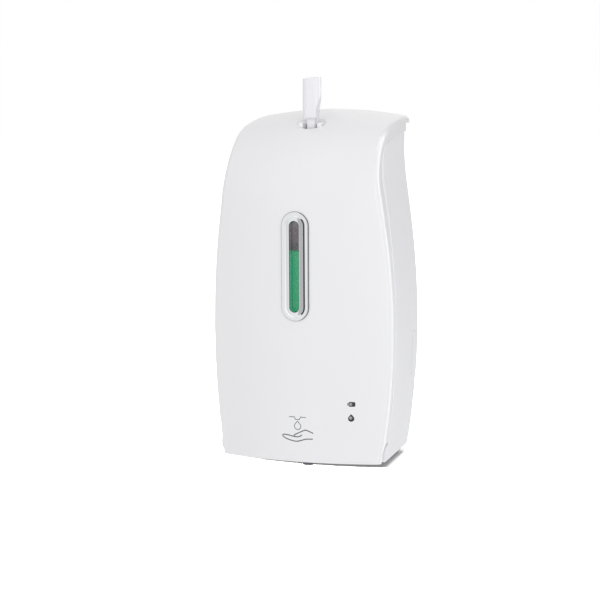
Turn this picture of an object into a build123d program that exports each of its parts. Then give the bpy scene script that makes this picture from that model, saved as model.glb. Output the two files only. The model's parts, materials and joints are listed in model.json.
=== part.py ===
from build123d import *
import os
from math import asin, atan2, cos, pi, radians, sin, sqrt, tan

# Wall mounted automatic soap dispenser, millimetres.
# Heights are measured up from the bottom edge of the cover, y runs from the wall (0) to the front
# (negative), and x is positive to the right of someone facing the dispenser. Every part is moved down by
# anchor_height when it is written, so the finished model has its origin at the centre of the wall screws.

# Overall sizes
height = 250.0
width = 135.0
depth = 96.0
anchor_height = 139.0

# Front view: barrel sides that turn upright near the top
widest_height = 92.0
lower_side_radius = 560.0
upper_side_radius = 570.0
straight_height = 172.0
straight_length = 27.0
flare_radius = 208.0

# Side view of the cover: leaning front, shoulder and top that rises to the wall
front_lean = 1.0
shoulder_radius = 57.5
shoulder_slope = 14.4
wall_slope = 2.0
crown_radius = 187.0
top_crown_radius = 295.0
shoulder_sections = 7

# Cover and housing shells
cover_wall = 2.6
cover_edge_radius = 4.5
housing_wall = 2.4
back_wall = 2.8
housing_depth = 74.0
housing_top = 235.0
housing_top_slope = 8.3
housing_corner_radius = 24.0
housing_inset_front = -0.6
housing_inset_wall = 3.8
floor_front = -86.5
floor_side_gap = 11.0
seam_gap = 0.6
lip_notch = 9.0
lip_bottom = 240.0
housing_rim_radius = 0.9
pad_bottom = 54.0
pad_height = 33.0
pad_reach = 16.0
pad_proud = 0.8
pad_corner_radius = 4.0

# Cover hinge at the lower front corners
hinge_y = -73.5
hinge_height = 6.8
knuckle_radius = 6.8
knuckle_reach = 12.5
lug_radius = 5.2
lug_thickness = 3.6
lug_web = 8.4
lug_clearance = 0.4
hinge_pin_radius = 2.0
hinge_pin_clearance = 0.05
hinge_pin_depth = 3.2

# Window in the cover
window_height = 140.2
bezel_width = 20.3
bezel_length = 77.7
bezel_edge = 0.5
bezel_shoulder_width = 15.6
bezel_shoulder = 1.9
bezel_crest_width = 10.4
bezel_proud = 2.5
bezel_neck_width = 17.0
bezel_neck_depth = 3.4
slot_width = 7.4
slot_length = 64.5
lens_thickness = 1.6
lens_overlap = 2.6
lens_recess = 0.5
fit_clearance = 0.2

# Indicator lenses on the lower right of the cover
indicator_x = 39.3
indicator_heights = (43.2, 33.4)
indicator_radius = 1.0
indicator_length = 8.0

# Lock: key, sliding latch, guide sleeve, spring and keeper
lock_y = -58.5
latch_width = 17.0
latch_thickness = 9.0
latch_bottom = 217.5
latch_saddle = 229.5
latch_prong_top = 240.5
latch_prong_width = 3.0
latch_arm_height = 3.6
latch_arm_root = 1.0
tooth_width = 11.0
tooth_front = -46.7
tooth_back = -43.4
tooth_top = 224.2
tooth_ramp = 1.8
sleeve_wall = 2.2
sleeve_bottom = 225.5
slide_clearance = 0.3
dish_curve = 19.0
dish_depth = 4.0
dish_boss_radius = 12.6
dish_boss = 6.0
key_width = 13.6
key_thickness = 9.0
key_bottom = 244.0
key_top = 273.0
key_top_slant = 5.0
key_top_tilt = 8.0
key_shank_width = 5.6
key_shank_thickness = 5.0
key_shoulder_cut = 2.5
key_shoulder_bottom = 6.0
key_shoulder_top = 15.5
catch_width = 14.0
catch_front = -50.0
catch_plate = 2.5
catch_bottom = 225.7
catch_arm_bottom = 230.0
catch_arm_thickness = 3.5
spring_seat = 210.0
spring_radius = 3.4
spring_wire = 0.9
spring_bore_depth = 7.0
keeper_plate = 2.0
keeper_leg = 2.2
keeper_depth = 8.0
keeper_top = 231.5
keeper_screw_height = 229.0

# Soap tank, its lid and the soap in it
tank_top = 198.0
tank_side_gap = 9.0
tank_front = -87.0
tank_back = -26.0
tank_wall = 2.0
tank_corner_radius = 7.0
soap_level = 145.2
soap_gap = 0.15
filler_width = 62.0
filler_depth = 30.0
filler_y = -50.0
filler_corner = 8.0
lid_thickness = 2.0
lid_overlap = 3.0
lid_plug = 3.0

# Outlet: spigot, coupler, seal, tube and nozzle
outlet_y = -66.5
spigot_radius = 5.2
spigot_bore = 3.2
spigot_length = 8.0
coupler_bore = 7.6
coupler_radius = 9.5
coupler_flange_radius = 13.0
coupler_flange = 2.0
coupler_depth = 10.0
coupler_floor = 1.8
barb_length = 5.5
seal_height = 2.4
seal_clearance = 0.1
tube_radius = 3.5
tube_bore = 2.1
tube_fit = 0.05
tube_bend = 8.0
tube_run = 2.0
tube_end = 3.0
nozzle_tip = -7.0
nozzle_top = 9.0
nozzle_radius = 5.4
nozzle_tip_radius = 3.9
nozzle_flange_radius = 8.0
nozzle_flange = 1.6

# Peristaltic pump
pump_height = 37.0
pump_loop_radius = 17.0
pump_plate_front = -62.2
pump_plate = 3.0
track_clearance = 0.3
track_wall = 2.5
track_front = -71.0
pump_cover_plate = 2.0
rotor_disc_gap = 0.5
rotor_disc = 2.6
rotor_hub_radius = 5.0
roller_count = 3
roller_hub_gap = 0.6
roller_pin_radius = 1.25
roller_width = 5.2
running_gap = 0.4
rotor_shaft_radius = 2.0
shaft_clearance = 0.05
shaft_seat = 1.5
roller_start = 90.0
post_screw_bite = 6.0
hanger_x = (-22.0, 14.0)
hanger_y = -58.2

# Reduction gears
coarse_module = 0.8
fine_module = 0.5
rotor_gear_teeth = 40
small_gear_teeth = 12
large_gear_teeth = 40
motor_gear_teeth = 12
gear_backlash = 0.12
gear_tip_clearance = 0.25
gear_addendum = 0.8
pressure_angle = 20.0
coarse_gear_thickness = 4.0
fine_gear_thickness = 3.0
gear_front = -58.7
reduction_bearing = -15.0
motor_bearing = 60.0
reduction_shaft_radius = 1.0
case_wall = 2.0
case_gap = 1.6
gear_cover_plate = 2.5
gear_case_depth = 10.4

# Motor
motor_radius = 10.0
motor_flat = 15.2
motor_rim = 1.0
terminal_width = 2.0
terminal_thickness = 0.6
motor_length = 25.0
motor_cap_length = 2.6
motor_boss_radius = 3.0
motor_boss = 1.6
motor_shaft_radius = 1.0
motor_screw_offset = 6.0

# Mechanism frame
shelf_bottom = 74.0
shelf_thickness = 3.0
shelf_front = -72.0
shelf_side_gap = 1.2
shelf_tongue_rim = 3.0
rest_rib_x = 36.0
rest_rib = 2.0
frame_back = -8.0
frame_plate = 2.4
frame_left = -40.0
frame_right = 30.0
leg_front = -68.0
panel_front = -69.0
panel_side_gap = 12.5
panel_bottom = 14.0
boss_radius = 4.0
frame_boss_x = 35.0
frame_screw_bite = 4.0
frame_boss_heights = (15.0, 62.0)

# Electronics
board_thickness = 1.6
board_standoff = 1.5
board_leg_gap = 0.1
board_post_radius = 2.8
board_screw_bite = 3.0
control_board_bottom = 15.0
control_board_top = 64.0
led_radius = 1.5
led_height = 3.0
switch_height = 24.5
switch_length = 9.0
switch_width = 4.4
switch_body = 3.6
switch_knob = 3.0
switch_knob_height = 2.6
switch_travel = 2.5
controller_height = 50.2
controller_size = 9.0
controller_thickness = 1.6
socket_edge = 6.0
socket_heights = (29.3, 38.3)
socket_width = 4.5
socket_length = 9.0
socket_wall = 1.0
socket_depth = 5.0
sensor_y = -44.0
sensor_width = 30.0
sensor_depth = 12.0
sensor_corner = 4.0
sensor_proud = 0.8
sensor_ledge = 1.6
sensor_board_height = 9.0
sensor_eye_radius = 2.5
sensor_eye_spacing = 16.0
sensor_post_gap = 4.0
sensor_post_radius = 2.2

# Battery box behind the tank
cell_count = 4
cell_radius = 7.1
cell_length = 49.5
cell_nub_radius = 2.6
cell_nub = 1.0
cell_pitch = 15.0
cell_y = -11.6
battery_bottom = 101.0
battery_wall = 1.6
battery_end_gap = 3.2
battery_front = -20.0
battery_door_plate = 1.8
battery_rib = 2.0
battery_rib_front = -7.5
battery_tab = 5.0
contact_plate = 0.4
contact_radius = 4.5
contact_size = 9.0

# Screws
wall_screw_radius = 2.5
wall_screw_span_x = 84.0
wall_screw_span_z = 102.0
wall_boss_radius = 7.0
wall_boss = 1.6
screw_radius = 1.25
screw_head_radius = 2.5
screw_head = 1.6
screw_hole_clearance = 0.1
screw_slack = 1.0
blind_wall = 1.0

# Working margin of cutting tools past the faces that they cut
margin = 10.0

# Sizes that follow from those above
hinge_point = (hinge_y, hinge_height)
knuckle_inner_x = width / 2 - knuckle_reach
floor_half_width = knuckle_inner_x - floor_side_gap
pump_x = -tube_bend - tube_run
pump_centre = (pump_x, pump_height)
coarse_distance = coarse_module * (rotor_gear_teeth + small_gear_teeth) / 2
fine_distance = fine_module * (large_gear_teeth + motor_gear_teeth) / 2
reduction_centre = (
    pump_x + coarse_distance * cos(radians(reduction_bearing)),
    pump_height + coarse_distance * sin(radians(reduction_bearing)),
)
motor_centre = (
    reduction_centre[0] + fine_distance * cos(radians(motor_bearing)),
    reduction_centre[1] + fine_distance * sin(radians(motor_bearing)),
)
pump_plate_back = pump_plate_front + pump_plate
gear_cover_front = pump_plate_back + gear_case_depth
gear_cover_back = gear_cover_front + gear_cover_plate
coarse_gear_back = gear_front + coarse_gear_thickness
fine_gear_front = coarse_gear_back + 2 * running_gap
fine_gear_back = fine_gear_front + fine_gear_thickness
shelf_top = shelf_bottom + shelf_thickness
tank_bottom = shelf_top + coupler_flange
coupler_bottom = shelf_top - coupler_depth
loop_inner = pump_loop_radius - tube_radius
rotor_disc_radius = loop_inner - rotor_disc_gap
roller_radius = (loop_inner - track_clearance - rotor_hub_radius - roller_hub_gap) / 2
roller_orbit = loop_inner - track_clearance - roller_radius
rotor_disc_back = pump_plate_front - running_gap
rotor_disc_front = rotor_disc_back - rotor_disc
roller_back = rotor_disc_front - running_gap / 2
roller_front = roller_back - roller_width
panel_right = width / 2 - panel_side_gap
board_front = panel_front - board_standoff - board_thickness
control_board_left = frame_right + frame_plate + board_leg_gap
board_middle = (control_board_left + panel_right) / 2
socket_x = panel_right - socket_edge
battery_half_width = cell_pitch * cell_count / 2 + battery_wall
battery_top = battery_bottom + 2 * battery_wall + 2 * battery_end_gap + cell_length
battery_middle = (battery_bottom + battery_top) / 2
battery_tab_rise = (battery_top - battery_bottom) / 2 + battery_tab
sleeve_half_width = latch_width / 2 + slide_clearance + sleeve_wall
track_inner = pump_loop_radius + tube_radius + track_clearance
track_outer = track_inner + track_wall

# Turns of a screw made along z: its head to the front, or its head to the wall
head_front = Rot(90, 0, 0)
head_wall = Rot(-90, 0, 0)


def block(x0, x1, y0, y1, z0, z1):
    """Box between two corners."""
    centre = Pos((x0 + x1) / 2, (y0 + y1) / 2, (z0 + z1) / 2)
    return centre * Box(abs(x1 - x0), abs(y1 - y0), abs(z1 - z0))


def rod_x(radius, x0, x1, y, z):
    """Round rod along x."""
    return Pos((x0 + x1) / 2, y, z) * Rot(0, 90, 0) * Cylinder(radius, abs(x1 - x0))


def rod_y(radius, x, y0, y1, z):
    """Round rod along y."""
    return Pos(x, (y0 + y1) / 2, z) * Rot(90, 0, 0) * Cylinder(radius, abs(y1 - y0))


def rod_z(radius, x, y, z0, z1):
    """Round rod along z."""
    return Pos(x, y, (z0 + z1) / 2) * Cylinder(radius, abs(z1 - z0))


def front_plate(face, y0, y1):
    """Face drawn in front view (x, z), given its thickness between two depths."""
    return extrude(Plane.XZ.offset(-max(y0, y1)) * face, abs(y1 - y0))


def side_plate(face, x0, x1):
    """Face drawn in side view (y, z), given its thickness between two x values."""
    return extrude(Plane.YZ.offset(min(x0, x1)) * face, abs(x1 - x0))


def flat_plate(face, z0, z1):
    """Face drawn in plan (x, y), given its thickness between two heights."""
    return extrude(Pos(0, 0, min(z0, z1)) * face, abs(z1 - z0))


def screw(length):
    """Plain screw along z, head up, with the underside of the head at z = 0."""
    head = Pos(0, 0, screw_head / 2) * Cylinder(screw_head_radius, screw_head)
    return head + Pos(0, 0, -length / 2) * Cylinder(screw_radius, length)


def screw_hole(length):
    """Clearance for the shank of a screw."""
    return Pos(0, 0, -length / 2) * Cylinder(screw_radius + screw_hole_clearance, length)


# Shared outlines


def outline(inset, bottom):
    """Front view from a height upwards: barrel sides of two arcs, then straight, then flared upright."""
    lower = lower_side_radius - inset
    upper = upper_side_radius - inset
    flare = flare_radius + inset
    turn = asin((straight_height - widest_height) / upper_side_radius)

    def low(z):
        across = width / 2 - lower_side_radius + sqrt(lower**2 - (z - widest_height) ** 2)
        return across, z

    def high(angle):
        across = width / 2 - upper_side_radius + upper * cos(angle)
        return across, widest_height + upper * sin(angle)

    bend = high(turn)
    straight_end = (bend[0] - straight_length * sin(turn), bend[1] + straight_length * cos(turn))
    flare_centre = (straight_end[0] + flare * cos(turn), straight_end[1] + flare * sin(turn))

    def flared(angle):
        return flare_centre[0] - flare * cos(angle), flare_centre[1] - flare * sin(angle)

    top = height + margin
    corners = [low(bottom), low((bottom + widest_height) / 2), low(widest_height), high(turn / 2), bend]
    corners += [straight_end, flared(turn / 2), flared(0), (flared(0)[0], top)]
    edges = []
    for side in (1, -1):
        points = [(side * x, z) for x, z in corners]
        edges.append(ThreePointArc(*points[0:3]))
        edges.append(ThreePointArc(*points[2:5]))
        edges.append(Line(*points[4:6]))
        edges.append(ThreePointArc(*points[5:8]))
        edges.append(Line(*points[7:9]))
    edges.append(Line((-corners[-1][0], top), corners[-1]))
    edges.append(Line((-corners[0][0], bottom), corners[0]))
    return make_face(edges)


def outward_at(slope):
    """Direction square to the cover's path where it has a slope."""
    return Vector(0, -sin(radians(slope)), cos(radians(slope)))


def cover_path():
    """Centres and ends of the arcs that the middle of the cover follows, from the wall to the front."""
    reach = depth - shoulder_radius * (cos(radians(front_lean)) - sin(radians(shoulder_slope)))
    top_radius = reach / (sin(radians(shoulder_slope)) - sin(radians(wall_slope)))
    top_centre = Vector(0, 0, height) - outward_at(wall_slope) * top_radius
    shoulder_centre = top_centre + outward_at(shoulder_slope) * (top_radius - shoulder_radius)
    return top_radius, top_centre, shoulder_centre


def front_at(z):
    """Depth of the middle of the cover's leaning front at a height."""
    shoulder_centre = cover_path()[2]
    lean = radians(front_lean)
    start_y = shoulder_centre.Y - shoulder_radius * cos(lean)
    start_z = shoulder_centre.Z - shoulder_radius * sin(lean)
    return start_y + (start_z - z) * tan(lean)


def top_at(y):
    """Height of the middle of the cover's top or shoulder at a depth."""
    top_radius, top_centre, shoulder_centre = cover_path()
    junction = shoulder_centre.Y - shoulder_radius * sin(radians(shoulder_slope))
    if y > junction:
        return top_centre.Z + sqrt(top_radius**2 - (y - top_centre.Y) ** 2)
    return shoulder_centre.Z + sqrt(shoulder_radius**2 - (y - shoulder_centre.Y) ** 2)


def cross_section(radius, crown, inset, floor):
    """Section square to the cover's path: crown arc on top, flat at a distance from the path's centre."""
    half = width / 2 + margin
    middle = radius - crown
    edge = middle + sqrt((crown - inset) ** 2 - half**2)
    edges = [
        ThreePointArc((-half, edge), (0, radius - inset), (half, edge)),
        Line((half, edge), (half, floor)),
        Line((half, floor), (-half, floor)),
        Line((-half, floor), (-half, edge)),
    ]
    return make_face(edges)


def path_plane(centre, slope):
    """Plane through an arc's centre that holds the x axis and the outward direction at a slope."""
    return Plane(origin=centre, x_dir=(1, 0, 0), z_dir=Vector(1, 0, 0).cross(outward_at(slope)))


def envelope(inset, bottom, back):
    """Solid inside the cover's outer surface, shrunk by an inset, down to a height and back to a depth."""
    top_radius, top_centre, shoulder_centre = cover_path()
    front_slope = 90 + front_lean
    top = revolve(
        path_plane(top_centre, 0) * cross_section(top_radius, top_crown_radius, inset, 0),
        Axis(top_centre, (1, 0, 0)),
        shoulder_slope + margin,
    ).rotate(Axis(top_centre, (1, 0, 0)), -margin)
    core = shoulder_radius / 3
    sections = []
    for index in range(shoulder_sections):
        share = index / (shoulder_sections - 1)
        slope = shoulder_slope + share * (front_slope - shoulder_slope)
        crown = top_crown_radius + share * (crown_radius - top_crown_radius)
        section = cross_section(shoulder_radius, crown, inset, core)
        sections.append(path_plane(shoulder_centre, slope) * section)
    half = width / 2 + margin
    shoulder = loft(sections) + rod_x(1.5 * core, -half, half, shoulder_centre.Y, shoulder_centre.Z)
    front_section = cross_section(shoulder_radius, crown_radius, inset, -depth)
    downward = (0, sin(radians(front_lean)), -cos(radians(front_lean)))
    front = extrude(path_plane(shoulder_centre, front_slope) * front_section, height, dir=downward)
    body = front + shoulder + top
    prism = front_plate(outline(inset, bottom), back, -depth - margin)
    return body & prism


# Cover and what rides on it


def side_edge(edge):
    """Whether an edge runs between the front or top of a shell and its sides."""
    centre = edge.center()
    return abs(centre.X) > width / 4 and edge.geom_type != GeomType.LINE and centre.Y < -margin


def housing_profile():
    """Side view of the housing, with the round hinge knuckle at its lower front corner."""
    front_top = housing_top - housing_depth * tan(radians(housing_top_slope))
    corners = [(0, 0), (-housing_depth, 0), (-housing_depth, front_top), (0, housing_top)]
    face = make_face(Polyline(*corners, close=True))
    face = fillet(face.vertices().sort_by(Axis.Y)[-2], housing_corner_radius)
    return face + Pos(*hinge_point) * Circle(knuckle_radius)


def seam_profile():
    """Side view of what the cover clears: the housing, the seam and the sweep of the lower corner."""
    reach = knuckle_radius + seam_gap
    swept = Rectangle(reach, hinge_height + margin)
    middle = Pos(hinge_y - reach / 2, (hinge_height - margin) / 2)
    return offset(housing_profile(), seam_gap) + middle * swept


def front_surface(x, z):
    """Depth of the cover's outer surface on its front."""
    return front_at(z) + crown_radius - sqrt(crown_radius**2 - x**2)


def window_plane():
    """Plane on the cover's front at the middle of the window, facing out."""
    lean = radians(front_lean)
    middle = (0, front_at(window_height), window_height)
    return Plane(origin=middle, x_dir=(1, 0, 0), z_dir=(0, -cos(lean), -sin(lean)))


def stadium(across, length):
    """Upright slot outline."""
    return SlotOverall(length, across, rotation=90)


def lock_plane():
    """Plane on the cover's top at the middle of the lock, facing out."""
    rise = top_at(lock_y + 1) - top_at(lock_y - 1)
    middle = (0, lock_y, top_at(lock_y))
    return Plane(origin=middle, x_dir=(1, 0, 0), z_dir=(0, -rise, 2))


def lock_outline(grow):
    """Plan of the latch's guide, grown all round."""
    across = latch_width + 2 * slide_clearance + 2 * grow
    deep = latch_thickness + 2 * slide_clearance + 2 * grow
    return Pos(0, lock_y) * RectangleRounded(across, deep, slide_clearance + grow)


def keeper_screw_seats(outside):
    """Seats of the keeper's two screws, at a distance outside the latch's guide, heads outwards."""
    across = sleeve_half_width + outside
    return [Pos(side * across, lock_y, keeper_screw_height) * Rot(0, side * 90, 0) for side in (1, -1)]


def hinge_lug():
    """Side view of a hinge lug: round eye with a web to the cover's front wall."""
    web = Pos(hinge_y - margin, hinge_height) * Rectangle(2 * margin, lug_web)
    return web + Pos(*hinge_point) * Circle(lug_radius)


def front_cover():
    """Cover: crowned shell with rounded edges, window opening, lock dish, latch guide and hinge lugs."""
    outer = envelope(0, 0, 0)
    outer = fillet(outer.edges().filter_by(side_edge), cover_edge_radius)
    shell = outer - envelope(cover_wall, -margin, margin)
    shell -= side_plate(seam_profile(), -width, width)
    shell -= block(-width, width, -lip_notch, margin, housing_top - margin, lip_bottom)
    lug_outer = knuckle_inner_x - lug_clearance
    lug_inner = lug_outer - lug_thickness
    sleeve = flat_plate(lock_outline(sleeve_wall), sleeve_bottom, height)
    lugs = [side_plate(hinge_lug(), side * lug_inner, side * lug_outer) for side in (1, -1)]
    dish_seat = extrude(lock_plane() * Circle(dish_boss_radius), -dish_boss)
    shell += (sleeve + dish_seat + lugs[0] + lugs[1]) & envelope(cover_wall / 2, 0, 0)
    neck_length = bezel_length - bezel_width + bezel_neck_width
    shell -= extrude(window_plane() * stadium(bezel_neck_width, neck_length), margin, both=True)
    shell -= flat_plate(lock_outline(0), sleeve_bottom - margin, height)
    shell -= lock_plane().offset(dish_curve - dish_depth) * Sphere(dish_curve)
    shell -= rod_x(hinge_pin_radius, -knuckle_inner_x, knuckle_inner_x, *hinge_point)
    for level in indicator_heights:
        shell -= rod_y(indicator_radius + fit_clearance / 2, indicator_x, -depth - margin, hinge_y, level)
    for seat in keeper_screw_seats(0):
        shell -= seat * screw_hole(sleeve_wall)
    return shell


def window_bezel():
    """Chrome ring: moulding on the cover that rises to the sight slot, with a neck in the opening."""
    plane = window_plane()
    straight = bezel_length - bezel_width
    rings = [
        (bezel_width, 0),
        (bezel_width, bezel_edge),
        (bezel_shoulder_width, bezel_shoulder),
        (bezel_crest_width, bezel_proud),
    ]
    steps = [plane.offset(rise) * stadium(across, across + straight) for across, rise in rings]
    neck_width = bezel_neck_width - 2 * fit_clearance
    neck = extrude(plane * stadium(neck_width, neck_width + straight), -bezel_neck_depth)
    slot = extrude(plane * stadium(slot_width, slot_length), margin, both=True)
    return loft(steps, ruled=True) + neck - slot


def window_lens():
    """Clear window that fills the bezel's slot, with a flange behind it."""
    flange = window_plane().offset(-bezel_neck_depth)
    plate = stadium(slot_width + 2 * lens_overlap, slot_length + 2 * lens_overlap)
    lens = extrude(flange * plate, -lens_thickness)
    fill_depth = bezel_neck_depth + bezel_proud - lens_recess
    fill = stadium(slot_width - 2 * fit_clearance, slot_length - 2 * fit_clearance)
    return lens + extrude(flange * fill, fill_depth)


def indicator_lenses():
    """Two light guides, flush with the cover's front."""
    guides = []
    for level in indicator_heights:
        back = front_surface(indicator_x, level) + indicator_length
        guide = rod_y(indicator_radius, indicator_x, -depth - margin, back, level)
        guides.append(guide & envelope(0, 0, 0))
    return guides


def hinge_pins():
    """Steel pins held in the cover's lugs and turning in the housing's knuckles."""
    outer = knuckle_inner_x + hinge_pin_depth - lug_clearance
    inner = knuckle_inner_x - lug_clearance - lug_thickness
    return [rod_x(hinge_pin_radius, side * inner, side * outer, *hinge_point) for side in (1, -1)]


def cover_latch():
    """Sliding latch: forked head that the key presses, and a tooth that hooks behind the catch."""
    prong_x = latch_width / 2 - latch_prong_width / 2
    prong_height = latch_prong_top - latch_prong_width / 2 - latch_bottom
    head = Pos(0, (latch_bottom + latch_saddle) / 2) * Rectangle(latch_width, latch_saddle - latch_bottom)
    for side in (1, -1):
        prong = Pos(0, prong_height / 2) * Rectangle(latch_prong_width, prong_height)
        prong += Pos(0, prong_height) * Circle(latch_prong_width / 2)
        head += Pos(side * prong_x, latch_bottom) * prong
    front = lock_y - latch_thickness / 2
    back = lock_y + latch_thickness / 2
    body = front_plate(head, front, back)
    hook = [
        (back - latch_arm_root, latch_bottom),
        (tooth_back, latch_bottom),
        (tooth_back, tooth_top - tooth_ramp),
        (tooth_back - tooth_ramp, tooth_top),
        (tooth_front, tooth_top),
        (tooth_front, latch_bottom + latch_arm_height),
        (back - latch_arm_root, latch_bottom + latch_arm_height),
    ]
    body += side_plate(make_face(Polyline(*hook, close=True)), -tooth_width / 2, tooth_width / 2)
    bore = spring_radius + slide_clearance
    return body - rod_z(bore, 0, lock_y, latch_bottom, latch_bottom + spring_bore_depth)


def latch_spring():
    """Envelope of the compression spring that lifts the latch."""
    top = latch_bottom + spring_bore_depth - shaft_clearance
    spring = rod_z(spring_radius, 0, lock_y, spring_seat, top)
    return spring - rod_z(spring_radius - spring_wire, 0, lock_y, spring_seat, top)


def latch_keeper():
    """Clip screwed to the latch guide that carries the spring."""
    inner = sleeve_half_width
    outer = inner + keeper_leg
    front = lock_y - keeper_depth / 2
    back = lock_y + keeper_depth / 2
    clip = block(-outer, outer, front, back, spring_seat - keeper_plate, keeper_top)
    clip -= block(-inner, inner, front - margin, back + margin, spring_seat, keeper_top)
    post_radius = spring_radius - spring_wire - slide_clearance
    clip += rod_z(post_radius, 0, lock_y, spring_seat, spring_seat + keeper_plate)
    for seat in keeper_screw_seats(keeper_leg):
        clip -= seat * screw_hole(keeper_leg)
    return clip & envelope(cover_wall + fit_clearance, 0, 0)


def keeper_screws():
    """Two screws through the keeper's legs."""
    length = keeper_leg + sleeve_wall - fit_clearance
    return [seat * screw(length) for seat in keeper_screw_seats(keeper_leg)]


def release_key():
    """Plastic key: oval grip with a slanted top, cut away at one lower corner, and a flat shank."""
    grip = flat_plate(Pos(0, lock_y) * SlotOverall(key_width, key_thickness), key_bottom, key_top)
    half = key_width / 2
    slant = Pos(half, lock_y, key_top) * Rot(key_top_tilt, -key_top_slant, 0)
    above = Pos(0, 0, key_width / 2) * Box(4 * key_width, 2 * key_width, key_width)
    grip -= slant * above
    corner = [
        (half, key_bottom),
        (half - key_shoulder_cut, key_bottom),
        (half - key_shoulder_cut, key_bottom + key_shoulder_bottom),
        (half, key_bottom + key_shoulder_top),
    ]
    notch = make_face(Polyline(*corner, close=True))
    grip -= front_plate(notch, lock_y - key_thickness, lock_y + key_thickness)
    shank_x = key_shank_width / 2
    shank_y = key_shank_thickness / 2
    foot = latch_saddle + shaft_clearance
    shank = block(-shank_x, shank_x, lock_y - shank_y, lock_y + shank_y, foot, key_bottom)
    shank = chamfer(shank.edges().group_by(Axis.Z)[0].filter_by(Axis.Y), key_shank_width / 5)
    return grip + shank


# Housing


def housing_block(inset, bottom):
    """Tapered block between the wall and the seam: narrower at the wall."""
    taper = (housing_inset_wall - housing_inset_front) / housing_depth
    front = outline(housing_inset_wall - taper * depth + inset, bottom)
    back = outline(housing_inset_wall + inset, bottom)
    return loft([Plane.XZ.offset(depth) * front, Plane.XZ * back], ruled=True)


def wall_screw_points():
    """Centres of the four wall screws in front view."""
    return [
        (side * wall_screw_span_x / 2, anchor_height + level * wall_screw_span_z / 2)
        for side in (1, -1)
        for level in (1, -1)
    ]


def frame_screw_points():
    """Centres of the four screws that hold the mechanism frame."""
    return [(side * frame_boss_x, level) for side in (1, -1) for level in frame_boss_heights]


def catch():
    """Arm on the back wall with a downward plate that the latch hooks behind, stiffened by a web."""
    half = catch_width / 2
    arm_top = catch_arm_bottom + catch_arm_thickness
    arm = block(-half, half, catch_front, -back_wall, catch_arm_bottom, arm_top)
    arm += block(-half, half, catch_front, catch_front + catch_plate, catch_bottom, arm_top)
    web = [(-back_wall, catch_arm_bottom), (-back_wall, tank_top), (tank_back, catch_arm_bottom)]
    return arm + side_plate(make_face(Polyline(*web, close=True)), -catch_plate / 2, catch_plate / 2)


def side_pads():
    """Raised pads on both sides of the housing, near the wall."""
    skin = housing_block(-pad_proud, 0) - housing_block(housing_wall / 2, -margin)
    middle = Pos(-back_wall - pad_reach / 2, pad_bottom + pad_height / 2)
    face = middle * RectangleRounded(pad_reach, pad_height, pad_corner_radius)
    return skin & side_plate(face, -width, width)


def rim_edges(solid):
    """Edges along the outside of the housing's rim, above the hinge: front, corner and top."""
    rim = housing_profile().face().outer_wire()

    def on_rim(edge):
        centre = edge.center()
        outside = abs(centre.X) > width / 4 and centre.Y < -margin and centre.Z > knuckle_radius + margin
        return outside and rim.distance_to(Vertex(centre.Y, centre.Z)) < fit_clearance

    return solid.edges().filter_by(on_rim)


def floor_tongue():
    """Front of the floor between the hinge lugs, curved like the cover and clear of its swing."""
    tongue = block(-floor_half_width, floor_half_width, floor_front, -housing_depth, 0, housing_wall)
    curve = Pos(0, floor_front + crown_radius) * Circle(crown_radius)
    return tongue & flat_plate(curve, 0, housing_wall)


def rear_housing():
    """Tub on the wall: tapered sides, floor and back, with bosses, latch catch and hinge knuckles."""
    solid = housing_block(0, 0) & side_plate(housing_profile(), -width, width)
    solid = fillet(rim_edges(solid), housing_rim_radius)
    hollow = housing_block(housing_wall, housing_wall)
    hollow &= block(-width, width, -2 * depth, -back_wall, -margin, height + margin)
    for side in (1, -1):
        hollow -= rod_x(knuckle_radius, side * knuckle_inner_x, side * width, *hinge_point)
    tub = solid - hollow + floor_tongue()
    for side in (1, -1):
        hole_end = side * (knuckle_inner_x + hinge_pin_depth)
        hole_start = side * (knuckle_inner_x - lug_clearance)
        tub -= rod_x(hinge_pin_radius + hinge_pin_clearance, hole_start, hole_end, *hinge_point)
        slot_inner = side * (knuckle_inner_x - 3 * lug_clearance - lug_thickness)
        lug_back = hinge_y + lug_radius + margin / 2
        tub -= block(slot_inner, side * knuckle_inner_x, -depth, lug_back, -margin, housing_wall)
    for x, z in wall_screw_points():
        tub += rod_y(wall_boss_radius, x, -back_wall, -back_wall - wall_boss, z) & solid
        tub -= rod_y(wall_screw_radius, x, margin, -margin, z)
    for x, z in frame_screw_points():
        tub += rod_y(boss_radius, x, -back_wall, frame_back, z)
        tub -= Pos(x, frame_back, z) * head_front * screw_hole(frame_screw_bite)
    for side in (1, -1):
        post_x = side * (sensor_width / 2 + sensor_post_gap)
        tub += rod_z(sensor_post_radius, post_x, sensor_y, housing_wall, sensor_board_height)
    tub -= rod_z(nozzle_radius + fit_clearance, 0, outlet_y, -margin, housing_wall)
    sensor_opening = Pos(0, sensor_y) * RectangleRounded(sensor_width, sensor_depth, sensor_corner)
    tub -= flat_plate(sensor_opening, -margin, housing_wall)
    for level in battery_screw_heights():
        tub -= Pos(0, -back_wall, level) * head_front * screw_hole(back_wall - blind_wall)
    tub += side_pads()
    return tub + catch()


def shelf_half_width():
    """Half width of the tank shelf, inside the tapered housing."""
    return width / 2 - housing_inset_wall - housing_wall - shelf_side_gap


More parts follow.
